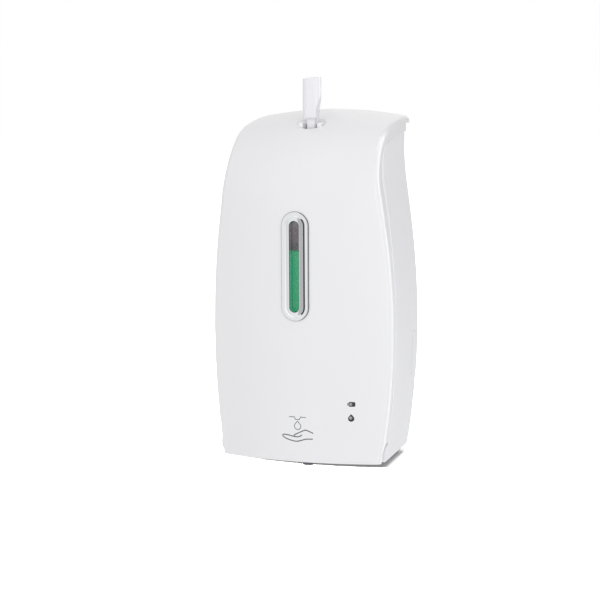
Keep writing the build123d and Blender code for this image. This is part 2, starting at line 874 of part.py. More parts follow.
def mechanism_frame():
    """Frame that carries the tank, pump and board: shelf, back plate, two legs and a front panel."""
    half = shelf_half_width()
    frame = block(-half, half, frame_back, shelf_front, shelf_bottom, shelf_top)
    tongue = coupler_flange_radius + shelf_tongue_rim
    frame += block(-tongue, tongue, shelf_front, outlet_y - tongue, shelf_bottom, shelf_top)
    for rib_x in (rest_rib_x, -rest_rib_x):
        left = rib_x - rest_rib / 2
        frame += block(left, left + rest_rib, shelf_front, tank_back, shelf_top, tank_bottom)
    plate_front = frame_back - frame_plate
    frame += block(frame_left, -frame_left, plate_front, frame_back, housing_wall, shelf_top)
    for left, front in ((frame_left, leg_front), (frame_right, panel_front)):
        frame += block(left, left + frame_plate, front, frame_back, housing_wall, shelf_bottom)
    panel_back = panel_front + frame_plate
    frame += block(frame_right, panel_right, panel_front, panel_back, panel_bottom, shelf_bottom)
    for x, z in board_screw_points():
        frame += rod_y(board_post_radius, x, panel_front, panel_front - board_standoff, z)
        frame -= Pos(x, panel_front - board_standoff, z) * head_front * screw_hole(board_screw_bite)
    for x, z in frame_screw_points():
        frame -= Pos(x, plate_front, z) * head_front * screw_hole(frame_plate)
    for x in hanger_x:
        frame -= Pos(x, hanger_y, shelf_top) * screw_hole(shelf_thickness)
    return frame - rod_z(coupler_radius + fit_clearance, 0, outlet_y, shelf_bottom, shelf_top)


def frame_screws():
    """Four screws that hold the frame to the housing."""
    plate_front = frame_back - frame_plate
    length = frame_plate + frame_screw_bite - screw_slack
    return [Pos(x, plate_front, z) * head_front * screw(length) for x, z in frame_screw_points()]


# Tank and outlet


def tank_upright(edge):
    """Whether an edge of the tank is one of its upright corners."""
    return abs(edge.center().X) > width / 4 and abs(edge.tangent_at(0.5).Z) > 0.8


def tank_block(inset):
    """Tank body shrunk by an inset: the cover's barrel outline with a curved front and rounded corners."""
    bottom = tank_bottom + inset
    top = tank_top - inset
    prism = front_plate(outline(tank_side_gap + inset, bottom), tank_back - inset, -depth)
    half = width / 2
    front = tank_front + inset
    side = front + crown_radius - sqrt(crown_radius**2 - half**2)
    edges = [
        ThreePointArc((-half, side), (0, front), (half, side)),
        Line((half, side), (half, tank_back - inset)),
        Line((half, tank_back - inset), (-half, tank_back - inset)),
        Line((-half, tank_back - inset), (-half, side)),
    ]
    body = prism & flat_plate(make_face(edges), bottom, top)
    return fillet(body.edges().filter_by(tank_upright), tank_corner_radius - inset)


def filler_outline(shrink):
    """Plan of the tank's filler opening."""
    opening = RectangleRounded(filler_width - 2 * shrink, filler_depth - 2 * shrink, filler_corner - shrink)
    return Pos(0, filler_y) * opening


def soap_tank():
    """Clear tank with a filler opening on top and an outlet spigot below."""
    tank = tank_block(0) - tank_block(tank_wall)
    tank -= flat_plate(filler_outline(0), tank_top - 2 * tank_wall, tank_top + margin)
    tank += rod_z(spigot_radius, 0, outlet_y, tank_bottom - spigot_length, tank_bottom + tank_wall)
    return tank - rod_z(spigot_bore, 0, outlet_y, tank_bottom - margin, tank_bottom + tank_wall)


def soap_fill():
    """Soap standing in the tank up to its level."""
    soap = tank_block(tank_wall + soap_gap)
    soap &= block(-width, width, -depth, 0, tank_bottom, soap_level)
    return soap - rod_z(spigot_bore, 0, outlet_y, tank_bottom, tank_bottom + 2 * tank_wall)


def tank_lid():
    """Push-in lid with a finger tab."""
    lid = flat_plate(filler_outline(-lid_overlap), tank_top, tank_top + lid_thickness)
    plug = filler_outline(slide_clearance) - filler_outline(slide_clearance + tank_wall)
    lid += flat_plate(plug, tank_top - lid_plug, tank_top)
    tab_front = filler_y - filler_depth / 2 - lid_overlap
    tab = Pos(0, tab_front) * RectangleRounded(filler_depth / 2, filler_corner, lid_overlap)
    return lid + flat_plate(tab, tank_top, tank_top + lid_thickness)


def tank_coupler():
    """Cup in the shelf that takes the tank's spigot, with a barb for the pump tube."""
    cup = rod_z(coupler_flange_radius, 0, outlet_y, shelf_top, tank_bottom)
    cup += rod_z(coupler_radius, 0, outlet_y, coupler_bottom, shelf_top)
    cup -= rod_z(coupler_bore, 0, outlet_y, coupler_bottom + coupler_floor, tank_bottom)
    cup += rod_z(tube_bore - tube_fit, 0, outlet_y, coupler_bottom - barb_length, coupler_bottom)
    return cup - rod_z(tube_bore / 2, 0, outlet_y, coupler_bottom - barb_length, tank_bottom)


def outlet_seal():
    """Ring seal between the spigot and the coupler."""
    level = tank_bottom - spigot_length / 2
    ring = rod_z(coupler_bore - seal_clearance, 0, outlet_y, level, level + seal_height)
    return ring - rod_z(spigot_radius + seal_clearance, 0, outlet_y, level, level + seal_height)


def tube_path():
    """Route of the pump tube in front view: down, round the rotor's left side and down to the nozzle."""
    upper = pump_height + pump_loop_radius
    lower = pump_height - pump_loop_radius
    diagonal = tube_bend * (1 - cos(radians(45)))
    start = coupler_bottom - tube_fit
    route = [
        Line((0, start), (0, upper + tube_bend)),
        ThreePointArc((0, upper + tube_bend), (-diagonal, upper + diagonal), (-tube_bend, upper)),
        Line((-tube_bend, upper), (pump_x, upper)),
        ThreePointArc((pump_x, upper), (pump_x - pump_loop_radius, pump_height), (pump_x, lower)),
        Line((pump_x, lower), (-tube_bend, lower)),
        ThreePointArc((-tube_bend, lower), (-diagonal, lower - diagonal), (0, lower - tube_bend)),
        Line((0, lower - tube_bend), (0, tube_end)),
    ]
    return Plane.XZ.offset(-outlet_y) * Wire([edge for piece in route for edge in piece.edges()])


def pump_tube():
    """Silicone tube from the coupler through the pump to the nozzle."""
    path = tube_path()
    section = Plane(origin=path @ 0, z_dir=path % 0) * (Circle(tube_radius) - Circle(tube_bore))
    return sweep(section, path=path)


def nozzle():
    """Black rubber nozzle: tapered tip below the floor, flange above it, sleeve round the tube."""
    half_section = [
        (tube_bore / 2, nozzle_tip),
        (nozzle_tip_radius, nozzle_tip),
        (nozzle_radius, 0),
        (nozzle_radius, housing_wall),
        (nozzle_flange_radius, housing_wall),
        (nozzle_flange_radius, housing_wall + nozzle_flange),
        (nozzle_radius, housing_wall + nozzle_flange),
        (nozzle_radius, nozzle_top),
        (tube_radius + tube_fit, nozzle_top),
        (tube_radius + tube_fit, tube_end),
        (tube_bore / 2, tube_end),
    ]
    face = make_face(Polyline(*half_section, close=True))
    return Pos(0, outlet_y, 0) * revolve(Plane.XZ * face, Axis.Z)


# Pump and gears


def case_face():
    """Front view of the gear case: hull of the pump, the reduction gear and the motor."""
    large_tip = fine_module * (large_gear_teeth / 2 + 1)
    circles = [
        Pos(*pump_centre) * Circle(track_outer),
        Pos(*reduction_centre) * Circle(large_tip + case_gap + case_wall),
        Pos(*motor_centre) * Circle(motor_radius + motor_rim),
    ]
    return make_hull([edge for circle in circles for edge in circle.edges()])


def ear_points():
    """Centres of the three screw posts round the gear case."""
    ear_reach = track_outer + screw_head_radius
    large_tip = fine_module * (large_gear_teeth / 2 + 1)
    right_reach = large_tip + case_gap + case_wall + screw_head_radius
    points = []
    for centre, reach, bearing in (
        (pump_centre, ear_reach, 135),
        (pump_centre, ear_reach, 225),
        (reduction_centre, right_reach, -30),
    ):
        angle = radians(bearing)
        points.append((centre[0] + reach * cos(angle), centre[1] + reach * sin(angle)))
    return points


def pump_housing():
    """Pump body: plate with the tube's track in front, gear case behind, screw posts and hangers."""
    face = case_face()
    inside = offset(face, -case_wall)
    body = front_plate(face, gear_cover_front, pump_plate_front)
    track = Pos(*pump_centre) * (Circle(track_outer) - Circle(track_inner))
    track &= Pos(pump_x - track_outer, pump_height) * Rectangle(2 * track_outer, 2 * track_outer)
    body += front_plate(track, pump_plate_front, track_front)
    for x, z in ear_points():
        body += rod_y(boss_radius, x, gear_cover_front, track_front, z)
    for x in hanger_x:
        half = boss_radius
        body += block(x - half, x + half, hanger_y - half, hanger_y + half, pump_height, shelf_bottom)
    body -= front_plate(inside, gear_cover_front, pump_plate_back)
    for x, z in ear_points():
        body -= Pos(x, track_front, z) * head_front * screw_hole(post_screw_bite)
        body -= Pos(x, gear_cover_front, z) * head_wall * screw_hole(post_screw_bite)
    for x in hanger_x:
        body -= Pos(x, hanger_y, shelf_bottom) * screw_hole(post_screw_bite)
    bearing = rotor_shaft_radius + shaft_clearance
    body -= rod_y(bearing, pump_x, pump_plate_back, pump_plate_front, pump_height)
    shaft_x, shaft_z = reduction_centre
    seat = pump_plate_front + shaft_seat
    return body - rod_y(reduction_shaft_radius, shaft_x, pump_plate_back, seat, shaft_z)


def pump_cover():
    """Plate over the pump's track, with the rotor's front bearing."""
    circles = [Pos(*pump_centre) * Circle(track_outer)]
    circles += [Pos(x, z) * Circle(boss_radius) for x, z in ear_points()]
    face = make_hull([edge for circle in circles for edge in circle.edges()])
    plate = front_plate(face, track_front, track_front - pump_cover_plate)
    for x, z in ear_points():
        plate -= Pos(x, track_front - pump_cover_plate, z) * head_front * screw_hole(pump_cover_plate)
    bearing = rotor_shaft_radius + shaft_clearance
    return plate - rod_y(bearing, pump_x, track_front, track_front - pump_cover_plate, pump_height)


def gear_cover():
    """Plate behind the gears that carries the motor and the rear bearings."""
    face = case_face()
    for x, z in ear_points():
        face += Pos(x, z) * Circle(boss_radius)
    plate = front_plate(face, gear_cover_front, gear_cover_back)
    for x, z in ear_points():
        plate -= Pos(x, gear_cover_back, z) * head_wall * screw_hole(gear_cover_plate)
    for x, z in motor_screw_points():
        plate -= Pos(x, gear_cover_front, z) * head_front * screw_hole(gear_cover_plate)
    motor_x, motor_z = motor_centre
    plate -= rod_y(motor_boss_radius + fit_clearance, motor_x, gear_cover_front, gear_cover_back, motor_z)
    bearing = rotor_shaft_radius + shaft_clearance
    plate -= rod_y(bearing, pump_x, gear_cover_front, gear_cover_back, pump_height)
    shaft_x, shaft_z = reduction_centre
    seat = gear_cover_front + shaft_seat
    return plate - rod_y(reduction_shaft_radius, shaft_x, gear_cover_front, seat, shaft_z)


def pump_screws():
    """Screws of the pump: three in front, three behind and two hangers from the shelf."""
    bite = post_screw_bite - screw_slack
    screws = []
    for x, z in ear_points():
        front = Pos(x, track_front - pump_cover_plate, z) * head_front
        screws.append(front * screw(pump_cover_plate + bite))
        rear = Pos(x, gear_cover_back, z) * head_wall
        screws.append(rear * screw(gear_cover_plate + bite))
    for x in hanger_x:
        screws.append(Pos(x, hanger_y, shelf_top) * screw(shelf_thickness + bite))
    return screws


def pump_rotor():
    """Rotor: disc behind the rollers and a hub between them."""
    rotor = rod_y(rotor_disc_radius, pump_x, rotor_disc_front, rotor_disc_back, pump_height)
    rotor += rod_y(rotor_hub_radius, pump_x, roller_front, rotor_disc_back, pump_height)
    rotor -= rod_y(rotor_shaft_radius, pump_x, roller_front, rotor_disc_back, pump_height)
    for x, z in roller_points():
        rotor -= rod_y(roller_pin_radius, x, rotor_disc_front, rotor_disc_back, z)
    return rotor


def roller_points():
    """Centres of the rollers on the rotor."""
    points = []
    for index in range(roller_count):
        angle = radians(roller_start + 360 * index / roller_count)
        points.append((pump_x + roller_orbit * cos(angle), pump_height + roller_orbit * sin(angle)))
    return points


def roller_pins():
    """Steel pins of the rollers, fixed in the rotor's disc."""
    return [rod_y(roller_pin_radius, x, roller_front, rotor_disc_back, z) for x, z in roller_points()]


def pump_roller(point):
    """Roller that squeezes the tube, turning on its pin."""
    x, z = point
    roller = rod_y(roller_radius, x, roller_front, roller_back, z)
    return roller - rod_y(roller_pin_radius + shaft_clearance, x, roller_front, roller_back, z)


def rotor_shaft():
    """Steel shaft through the rotor and its gear."""
    return rod_y(rotor_shaft_radius, pump_x, track_front - pump_cover_plate, gear_cover_back, pump_height)


def gear_face(module, teeth, phase):
    """Spur gear outline with a tooth at the phase angle; flanks are arcs through three involute points."""
    pitch = module * teeth / 2
    slant = radians(pressure_angle)
    base = pitch * cos(slant)
    tip = pitch + module * gear_addendum
    root = pitch - module * gear_addendum - gear_tip_clearance
    start = max(base, root)

    def half_angle(radius):
        roll = sqrt(max((radius / base) ** 2 - 1, 0))
        involute = roll - atan2(roll, 1)
        return (pi / 2 - gear_backlash / module) / teeth + tan(slant) - slant - involute

    def point(radius, angle):
        return radius * cos(angle), radius * sin(angle)

    def round_edge(radius, angle, spread):
        return ThreePointArc(*[point(radius, angle + turn) for turn in (-spread, 0, spread)])

    flank = (start, (start + tip) / 2, tip)
    edges = []
    for index in range(teeth):
        middle = radians(phase) + 2 * pi * index / teeth
        for side in (-1, 1):
            rise = [point(radius, middle + side * half_angle(radius)) for radius in flank]
            edges.append(ThreePointArc(*rise))
            if root < start:
                foot = point(root, middle + side * half_angle(start))
                edges.append(Line(foot, rise[0]))
        edges.append(round_edge(tip, middle, half_angle(tip)))
        edges.append(round_edge(root, middle + pi / teeth, pi / teeth - half_angle(start)))
    return make_face(edges)


def rotor_gear():
    """Large gear on the rotor's shaft."""
    face = gear_face(coarse_module, rotor_gear_teeth, reduction_bearing) - Circle(rotor_shaft_radius)
    return front_plate(Pos(*pump_centre) * face, gear_front, coarse_gear_back)


def reduction_gear():
    """Double gear between the motor and the rotor."""
    bore = Circle(reduction_shaft_radius + shaft_clearance)
    small_phase = reduction_bearing + 180 + 180 / small_gear_teeth
    small = gear_face(coarse_module, small_gear_teeth, small_phase) - bore
    large = gear_face(fine_module, large_gear_teeth, motor_bearing) - bore
    gear = front_plate(Pos(*reduction_centre) * small, gear_front, fine_gear_front)
    return gear + front_plate(Pos(*reduction_centre) * large, fine_gear_front, fine_gear_back)


def reduction_shaft():
    """Steel pin that the double gear turns on."""
    shaft_x, shaft_z = reduction_centre
    front = pump_plate_front + shaft_seat
    return rod_y(reduction_shaft_radius, shaft_x, front, gear_cover_front + shaft_seat, shaft_z)


def motor_gear():
    """Small gear on the motor's shaft."""
    phase = motor_bearing + 180 + 180 / motor_gear_teeth
    face = gear_face(fine_module, motor_gear_teeth, phase) - Circle(motor_shaft_radius)
    return front_plate(Pos(*motor_centre) * face, fine_gear_front, fine_gear_back)


def motor_shaft():
    """Motor shaft, from inside the can to the front of its gear."""
    motor_x, motor_z = motor_centre
    back = gear_cover_back + motor_length / 2
    return rod_y(motor_shaft_radius, motor_x, fine_gear_front, back, motor_z)


def motor_screw_points():
    """Centres of the two screws in the motor's front face."""
    motor_x, motor_z = motor_centre
    return [(motor_x, motor_z + side * motor_screw_offset) for side in (1, -1)]


def motor_can():
    """Steel motor can with two flats and a bearing boss, hollow for its shaft."""
    motor_x, motor_z = motor_centre
    back = gear_cover_back + motor_length
    can = rod_y(motor_radius, motor_x, gear_cover_back, back, motor_z)
    half = motor_flat / 2
    can &= block(motor_x - half, motor_x + half, gear_cover_back, back, 0, shelf_bottom)
    boss_front = gear_cover_back - motor_boss
    can += rod_y(motor_boss_radius, motor_x, boss_front, gear_cover_back, motor_z)
    bore_back = gear_cover_back + motor_length / 2
    can -= rod_y(motor_shaft_radius + shaft_clearance, motor_x, boss_front, bore_back, motor_z)
    for x, z in motor_screw_points():
        can -= Pos(x, gear_cover_back, z) * head_front * screw_hole(post_screw_bite)
    return can


def motor_cap():
    """Plastic end cap of the motor with two terminals."""
    motor_x, motor_z = motor_centre
    front = gear_cover_back + motor_length
    back = front + motor_cap_length
    half = motor_flat / 2
    cap = rod_y(motor_radius - motor_rim, motor_x, front, back, motor_z)
    cap &= block(motor_x - half, motor_x + half, front, back, 0, shelf_bottom)
    terminal = Box(terminal_width, 2 * motor_cap_length, terminal_thickness)
    for side in (1, -1):
        cap += Pos(motor_x, back, motor_z + side * motor_radius / 2) * terminal
    return cap


def motor_screws():
    """Two screws through the gear cover into the motor."""
    length = gear_cover_plate + post_screw_bite - screw_slack
    return [Pos(x, gear_cover_front, z) * head_front * screw(length) for x, z in motor_screw_points()]


# Electronics


def board_screw_points():
    """Centres of the two board screws in front view."""
    inset = boss_radius
    return [
        (control_board_left + inset, control_board_top - inset),
        (panel_right - inset, control_board_bottom + inset),
    ]


def control_board():
    """Circuit board behind the indicator lenses."""
    face = Rectangle(panel_right - control_board_left, control_board_top - control_board_bottom)
    middle = Pos(board_middle, (control_board_bottom + control_board_top) / 2)
    board = front_plate(middle * face, board_front, board_front + board_thickness)
    for x, z in board_screw_points():
        board -= Pos(x, board_front, z) * head_front * screw_hole(board_thickness)
    return board


def board_chips():
    """Controller chip and two plug sockets on the board."""
    controller = Pos(board_middle, controller_height) * Rectangle(controller_size, controller_size)
    chips = [front_plate(controller, board_front - controller_thickness, board_front)]
    socket_front = board_front - socket_depth
    outer = Rectangle(socket_length, socket_width)
    inner = Rectangle(socket_length - 2 * socket_wall, socket_width - 2 * socket_wall)
    for level in socket_heights:
        middle = Pos(socket_x, level)
        pocket = front_plate(middle * inner, socket_front, board_front - socket_wall)
        chips.append(front_plate(middle * outer, socket_front, board_front) - pocket)
    return chips


def board_screws():
    """Two screws that hold the board to its panel."""
    length = board_thickness + board_screw_bite - screw_slack
    return [Pos(x, board_front, z) * head_front * screw(length) for x, z in board_screw_points()]


def indicator_lights():
    """Two round lights on the board behind the lenses."""
    lights = []
    for level in indicator_heights:
        light = rod_y(led_radius, indicator_x, board_front - led_height, board_front, level)
        lights.append(chamfer(light.edges().group_by(Axis.Y)[0], led_radius / 2))
    return lights


def switch_frame():
    """Slide switch body on the board, with the slot that its slider runs in."""
    front = board_front - switch_body
    middle = Pos(board_middle, switch_height)
    body = front_plate(middle * Rectangle(switch_length, switch_width), front, board_front)
    slot_length_x = switch_knob + switch_travel + 2 * slide_clearance
    slot = Rectangle(slot_length_x, switch_knob + 2 * slide_clearance)
    return body - front_plate(middle * slot, front, front + switch_body / 2)


def switch_slider():
    """Switch slider, at the left end of its travel."""
    front = board_front - switch_body - switch_knob_height
    back = board_front - switch_body / 2 - shaft_clearance
    middle = Pos(board_middle - switch_travel / 2, switch_height)
    knob = front_plate(middle * Rectangle(switch_knob, switch_knob), front, back)
    return fillet(knob.edges().group_by(Axis.Y)[0], switch_knob / 6)


def sensor_lens():
    """Dark window in the floor, held by a ledge inside."""
    across = sensor_width - 2 * fit_clearance
    deep = sensor_depth - 2 * fit_clearance
    plug = Pos(0, sensor_y) * RectangleRounded(across, deep, sensor_corner - fit_clearance)
    rim = 2 * sensor_ledge
    ledge = Pos(0, sensor_y) * RectangleRounded(sensor_width + rim, sensor_depth + rim, sensor_corner)
    lens = flat_plate(plug, -sensor_proud, housing_wall)
    return lens + flat_plate(ledge, housing_wall, housing_wall + sensor_ledge)


def sensor_board():
    """Small circuit board above the sensor's window."""
    half = sensor_width / 2 + sensor_post_gap + sensor_post_radius
    face = Pos(0, sensor_y) * Rectangle(2 * half, sensor_depth)
    return flat_plate(face, sensor_board_height, sensor_board_height + board_thickness)


def sensor_eyes():
    """Infrared emitter and receiver that look down through the window."""
    eyes = []
    for side in (1, -1):
        x = side * sensor_eye_spacing / 2
        bottom = housing_wall + sensor_ledge + slide_clearance
        eye = rod_z(sensor_eye_radius, x, sensor_y, bottom, sensor_board_height)
        eyes.append(chamfer(eye.edges().group_by(Axis.Z)[0], sensor_eye_radius / 2))
    return eyes


# Batteries


def cell_positions():
    """Centres of the cells, from left to right."""
    return [cell_pitch * (index - (cell_count - 1) / 2) for index in range(cell_count)]


def battery_screw_heights():
    """Heights of the two screws above and below the battery box."""
    return [battery_middle + battery_tab_rise, battery_middle - battery_tab_rise]


def battery_box():
    """Tray on the back wall for the cells, with low ribs between them and two screw tabs."""
    half = battery_half_width
    inner = half - battery_wall
    inner_back = -back_wall - battery_wall
    inner_bottom = battery_bottom + battery_wall
    inner_top = battery_top - battery_wall
    tray = block(-half, half, battery_front, -back_wall, battery_bottom, battery_top)
    tray -= block(-inner, inner, battery_front, inner_back, inner_bottom, inner_top)
    for x in cell_positions()[1:]:
        left = x - cell_pitch / 2 - battery_rib / 2
        tray += block(left, left + battery_rib, battery_rib_front, inner_back, inner_bottom, inner_top)
    tab_end = battery_tab_rise + battery_tab
    low_end = battery_middle - tab_end
    high_end = battery_middle + tab_end
    tray += block(-battery_tab, battery_tab, inner_back, -back_wall, low_end, high_end)
    for level in battery_screw_heights():
        tray -= Pos(0, inner_back, level) * head_front * screw_hole(battery_wall)
    return tray


def battery_screws():
    """Two screws that hold the battery box to the back wall."""
    length = battery_wall + back_wall - blind_wall - fit_clearance
    front = -back_wall - battery_wall
    return [Pos(0, front, level) * head_front * screw(length) for level in battery_screw_heights()]


def battery_cells():
    """Round cells, alternately up and down."""
    cells = []
    for index, x in enumerate(cell_positions()):
        turn = 180 * (index % 2)
        cell = Cylinder(cell_radius, cell_length - cell_nub)
        cell += Pos(0, 0, cell_length / 2) * Cylinder(cell_nub_radius, cell_nub)
        cell = Pos(0, 0, -cell_nub / 2) * cell
        cells.append(Pos(x, cell_y, battery_middle) * Rot(turn, 0, 0) * cell)
    return cells


def battery_contacts():
    """Sprung contact at each end of each cell, as a plate with a cone."""
    contacts = []
    height_free = battery_end_gap - shaft_clearance
    for x in cell_positions():
        plate = Pos(0, 0, contact_plate / 2) * Box(contact_size, contact_size, contact_plate)
        cone_height = height_free - contact_plate
        cone = Cone(contact_radius, contact_radius / 2, cone_height)
        contact = plate + Pos(0, 0, contact_plate + cone_height / 2) * cone
        contacts.append(Pos(x, cell_y, battery_bottom + battery_wall) * contact)
        contacts.append(Pos(x, cell_y, battery_top - battery_wall) * Rot(180, 0, 0) * contact)
    return contacts


def battery_door():
    """Door of the battery box, with a thumb rib."""
    half = battery_half_width
    front = battery_front - battery_door_plate
    door = block(-half, half, front, battery_front, battery_bottom, battery_top)
    door = fillet(door.edges().filter_by(Axis.Y), 2 * battery_wall)
    rib_bottom = battery_top - 3 * battery_wall
    rib_top = rib_bottom + battery_wall
    return door + block(-half / 2, half / 2, front - battery_door_plate, front, rib_bottom, rib_top)


def save(name, shape):
    """Write one part, or a group of like parts, with the origin at the wall screws' centre."""
    pieces = shape if isinstance(shape, list) else [shape]
    solids = [solid for piece in pieces for solid in piece.solids()]
    moved = [Pos(0, 0, -anchor_height) * solid for solid in solids]
    whole = moved[0] if len(moved) == 1 else Compound(children=moved)
    export_step(whole, os.path.join("parts", name + ".step"))


def main():
    os.makedirs("parts", exist_ok=True)
    makers = [
        front_cover, window_bezel, window_lens, indicator_lenses, hinge_pins, cover_latch,
        latch_spring, latch_keeper, keeper_screws, release_key, rear_housing, mechanism_frame,
        frame_screws, soap_tank, soap_fill, tank_lid, tank_coupler, outlet_seal, pump_tube, nozzle,
        pump_housing, pump_cover, gear_cover, pump_screws, pump_rotor, roller_pins, rotor_shaft,
        rotor_gear, reduction_gear, reduction_shaft, motor_gear, motor_shaft, motor_can, motor_cap,
        motor_screws, control_board, board_chips, board_screws, indicator_lights, switch_frame,
        switch_slider, sensor_lens, sensor_board, sensor_eyes, battery_box, battery_screws,
        battery_cells, battery_contacts, battery_door,
    ]
    for maker in makers:
        save(maker.__name__, maker())
    for index, point in enumerate(roller_points()):
        save("pump_roller_%d" % (index + 1), pump_roller(point))


if __name__ == "__main__":
    main()
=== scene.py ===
"""Looks of a wall mounted soap dispenser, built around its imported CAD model."""

import json
import math
from functools import partial

import bpy
import numpy as np
from mathutils import Matrix, Vector

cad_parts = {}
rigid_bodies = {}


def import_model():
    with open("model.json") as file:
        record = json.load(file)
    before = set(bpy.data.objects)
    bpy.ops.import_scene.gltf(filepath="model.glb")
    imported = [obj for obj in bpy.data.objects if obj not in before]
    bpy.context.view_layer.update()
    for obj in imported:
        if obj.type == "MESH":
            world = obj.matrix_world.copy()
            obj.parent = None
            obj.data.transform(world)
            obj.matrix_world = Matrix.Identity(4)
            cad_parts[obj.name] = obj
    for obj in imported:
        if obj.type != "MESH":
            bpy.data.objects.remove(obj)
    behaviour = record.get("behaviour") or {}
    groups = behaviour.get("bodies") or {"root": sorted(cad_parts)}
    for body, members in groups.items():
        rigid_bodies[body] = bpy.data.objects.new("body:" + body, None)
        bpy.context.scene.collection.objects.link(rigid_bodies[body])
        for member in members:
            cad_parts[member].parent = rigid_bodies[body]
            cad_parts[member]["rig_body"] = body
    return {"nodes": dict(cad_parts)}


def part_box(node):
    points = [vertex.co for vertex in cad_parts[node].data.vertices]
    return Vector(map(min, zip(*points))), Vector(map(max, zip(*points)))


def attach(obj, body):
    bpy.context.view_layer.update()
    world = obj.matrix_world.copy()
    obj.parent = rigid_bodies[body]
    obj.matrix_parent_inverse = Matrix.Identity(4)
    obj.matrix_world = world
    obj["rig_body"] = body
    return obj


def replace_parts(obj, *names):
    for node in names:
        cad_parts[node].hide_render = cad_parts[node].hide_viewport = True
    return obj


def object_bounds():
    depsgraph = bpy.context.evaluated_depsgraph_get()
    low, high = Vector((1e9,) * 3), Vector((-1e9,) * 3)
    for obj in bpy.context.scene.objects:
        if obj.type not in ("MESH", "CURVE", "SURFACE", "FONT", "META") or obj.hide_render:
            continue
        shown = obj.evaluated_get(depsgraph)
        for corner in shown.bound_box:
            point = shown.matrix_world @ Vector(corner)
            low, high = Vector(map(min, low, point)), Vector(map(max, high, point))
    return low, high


bl_info = {
    "name": "Wall soap dispenser",
    "version": (1, 0, 0),
    "blender": (4, 5, 0),
    "location": "3D View > Sidebar > Dispenser",
    "description": "Finishes, signs, fasteners and studio for a wall mounted soap dispenser",
    "category": "Object",
}

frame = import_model()
nodes = frame["nodes"]
cad_low, cad_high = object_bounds()

MM = 0.001
BLACK = (0.0, 0.0, 0.0, 1.0)
WHITE = (1.0, 1.0, 1.0, 1.0)
EVEN = (1.0, 1.0, 1.0)
PLASTIC_IOR = 1.49

# Places on the cover's front are measured across from its middle and up from its lower edge.
COVER_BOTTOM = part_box("front_cover")[0].z
COVER_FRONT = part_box("front_cover")[0].y

# Painted light: the tank's wall glows faintly above the soap, starting at the first of these heights above it
# and full at the second.
GLOW_ABOVE_SOAP_START = 5 * MM
GLOW_ABOVE_SOAP_FULL = 6 * MM
GLOW_ABOVE_SOAP_COLOUR = (0.032, 0.022, 0.027, 1.0)

# Lines of the hand, the spout and the shelf that it hangs from, in millimetres.
HAND_BACK = (
    (-10.3, 18.5), (-9.6, 17.7), (-7.2, 16.4), (-3.6, 15.4),
    (0.3, 14.9), (4.0, 15.8), (7.4, 16.8), (12.1, 17.1),
)
HAND_FINGER = (
    (-10.3, 18.5), (-9.8, 19.3), (-8.6, 19.4), (-5.8, 19.1),
    (-1.4, 18.3), (1.1, 18.2), (2.8, 18.7), (4.1, 19.6),
)
HAND_THUMB = (
    (-1.5, 18.6), (-1.3, 19.5), (0.4, 20.4), (4.4, 22.4),
    (6.2, 23.2), (7.5, 23.3), (9.8, 22.5), (12.3, 21.4),
)
SPOUT_LINE = ((-1.6, 32.9), (-0.4, 30.7), (2.4, 30.7), (3.6, 32.9))
SHELF_LINES = (((-5.1, 32.5), (-2.1, 32.5)), ((4.1, 32.5), (7.1, 32.5)))
# Points along a line of the hand and along an edge, points round a line, and the rounding of its ends.
HAND_STEPS = 60
EDGE_STEPS = 8
STROKE_SIDES = 10
STROKE_CAP_STEPS = 5
STROKE_CAP_END = 0.5 * math.pi - 0.12

# The drop under the spout: the centre of its round part, that part's radius and the reach of its tip.
SIGN_DROP = {"middle": 1.1 * MM, "centre": 25.9 * MM, "radius": 2.4 * MM, "reach": 3.7 * MM}

# The two icons, from the middles of the lights that they surround.
ICON_GAP = 0.1 * MM
BATTERY_LEFT = 1.4 * MM
BATTERY_RIGHT = 3.3 * MM
BATTERY_HALF_HEIGHT = 1.7 * MM
BATTERY_CORNER = 0.9 * MM
BATTERY_CAP_LEFT = 1.9 * MM
BATTERY_CAP_HALF_HEIGHT = 0.6 * MM
BATTERY_CAP_WIDTH = 0.6 * MM
SOAP_RIGHT = 0.4 * MM
SOAP_DOWN = 0.5 * MM
SOAP_RADIUS = 2.2 * MM
SOAP_REACH = 3.3 * MM

# Screws: the mesh's columns and rows, the length of the tip and of its chamfer, and how near an end a point
# belongs to it and how wide an end must be, by which a plain screw's axis is found.
SCREW_COLUMNS = 40
SCREW_DOME_ROWS = 12
SCREW_TIP = 0.4 * MM
SCREW_TIP_CHAMFER = 0.1 * MM
SCREW_END_BAND = 0.05 * MM
SCREW_LEAST_WIDTH = 2 * MM

# The latch spring: its wire, turns, points along and round the wire, and the share of each flat end.
SPRING_WIRE = 0.9 * MM
SPRING_TURNS = 7
SPRING_ROWS = 260
SPRING_SIDES = 10
SPRING_FLAT_SHARE = 0.12

# Cards that only reflections see, round the cover's front: name, first and last bearing from straight ahead
# in degrees, and brightness low down and high up.
CARDS = (
    ("side_card", -165.0, -62.0, 1.3, 0.86),
    ("left_card", -62.0, -44.0, 0.74, 0.74),
    ("middle_card", -44.0, -4.0, 0.86, 0.86),
    ("front_card", -4.0, 40.0, 0.48, 0.48),
    ("clear_card", 40.0, 58.0, 0.8, 0.8),
    ("dark_card", 58.0, 88.0, 0.02, 0.02),
    ("bright_card", 88.0, 112.0, 1.2, 1.2),
    ("edge_card", 112.0, 138.0, 3.0, 2.8),
    ("rear_card", 138.0, 168.0, 0.8, 0.25),
)
# The cards' radius, their lower and upper edge, where the brightness changes, their own tone and their mesh.
CARD_REACH = 0.5
CARD_LEVELS = (-1.2, 1.2)
CARD_FADE = (-0.2, 0.06)
CARD_TONE = 0.02
CARD_COLUMNS = 12
CARD_ROWS = 3

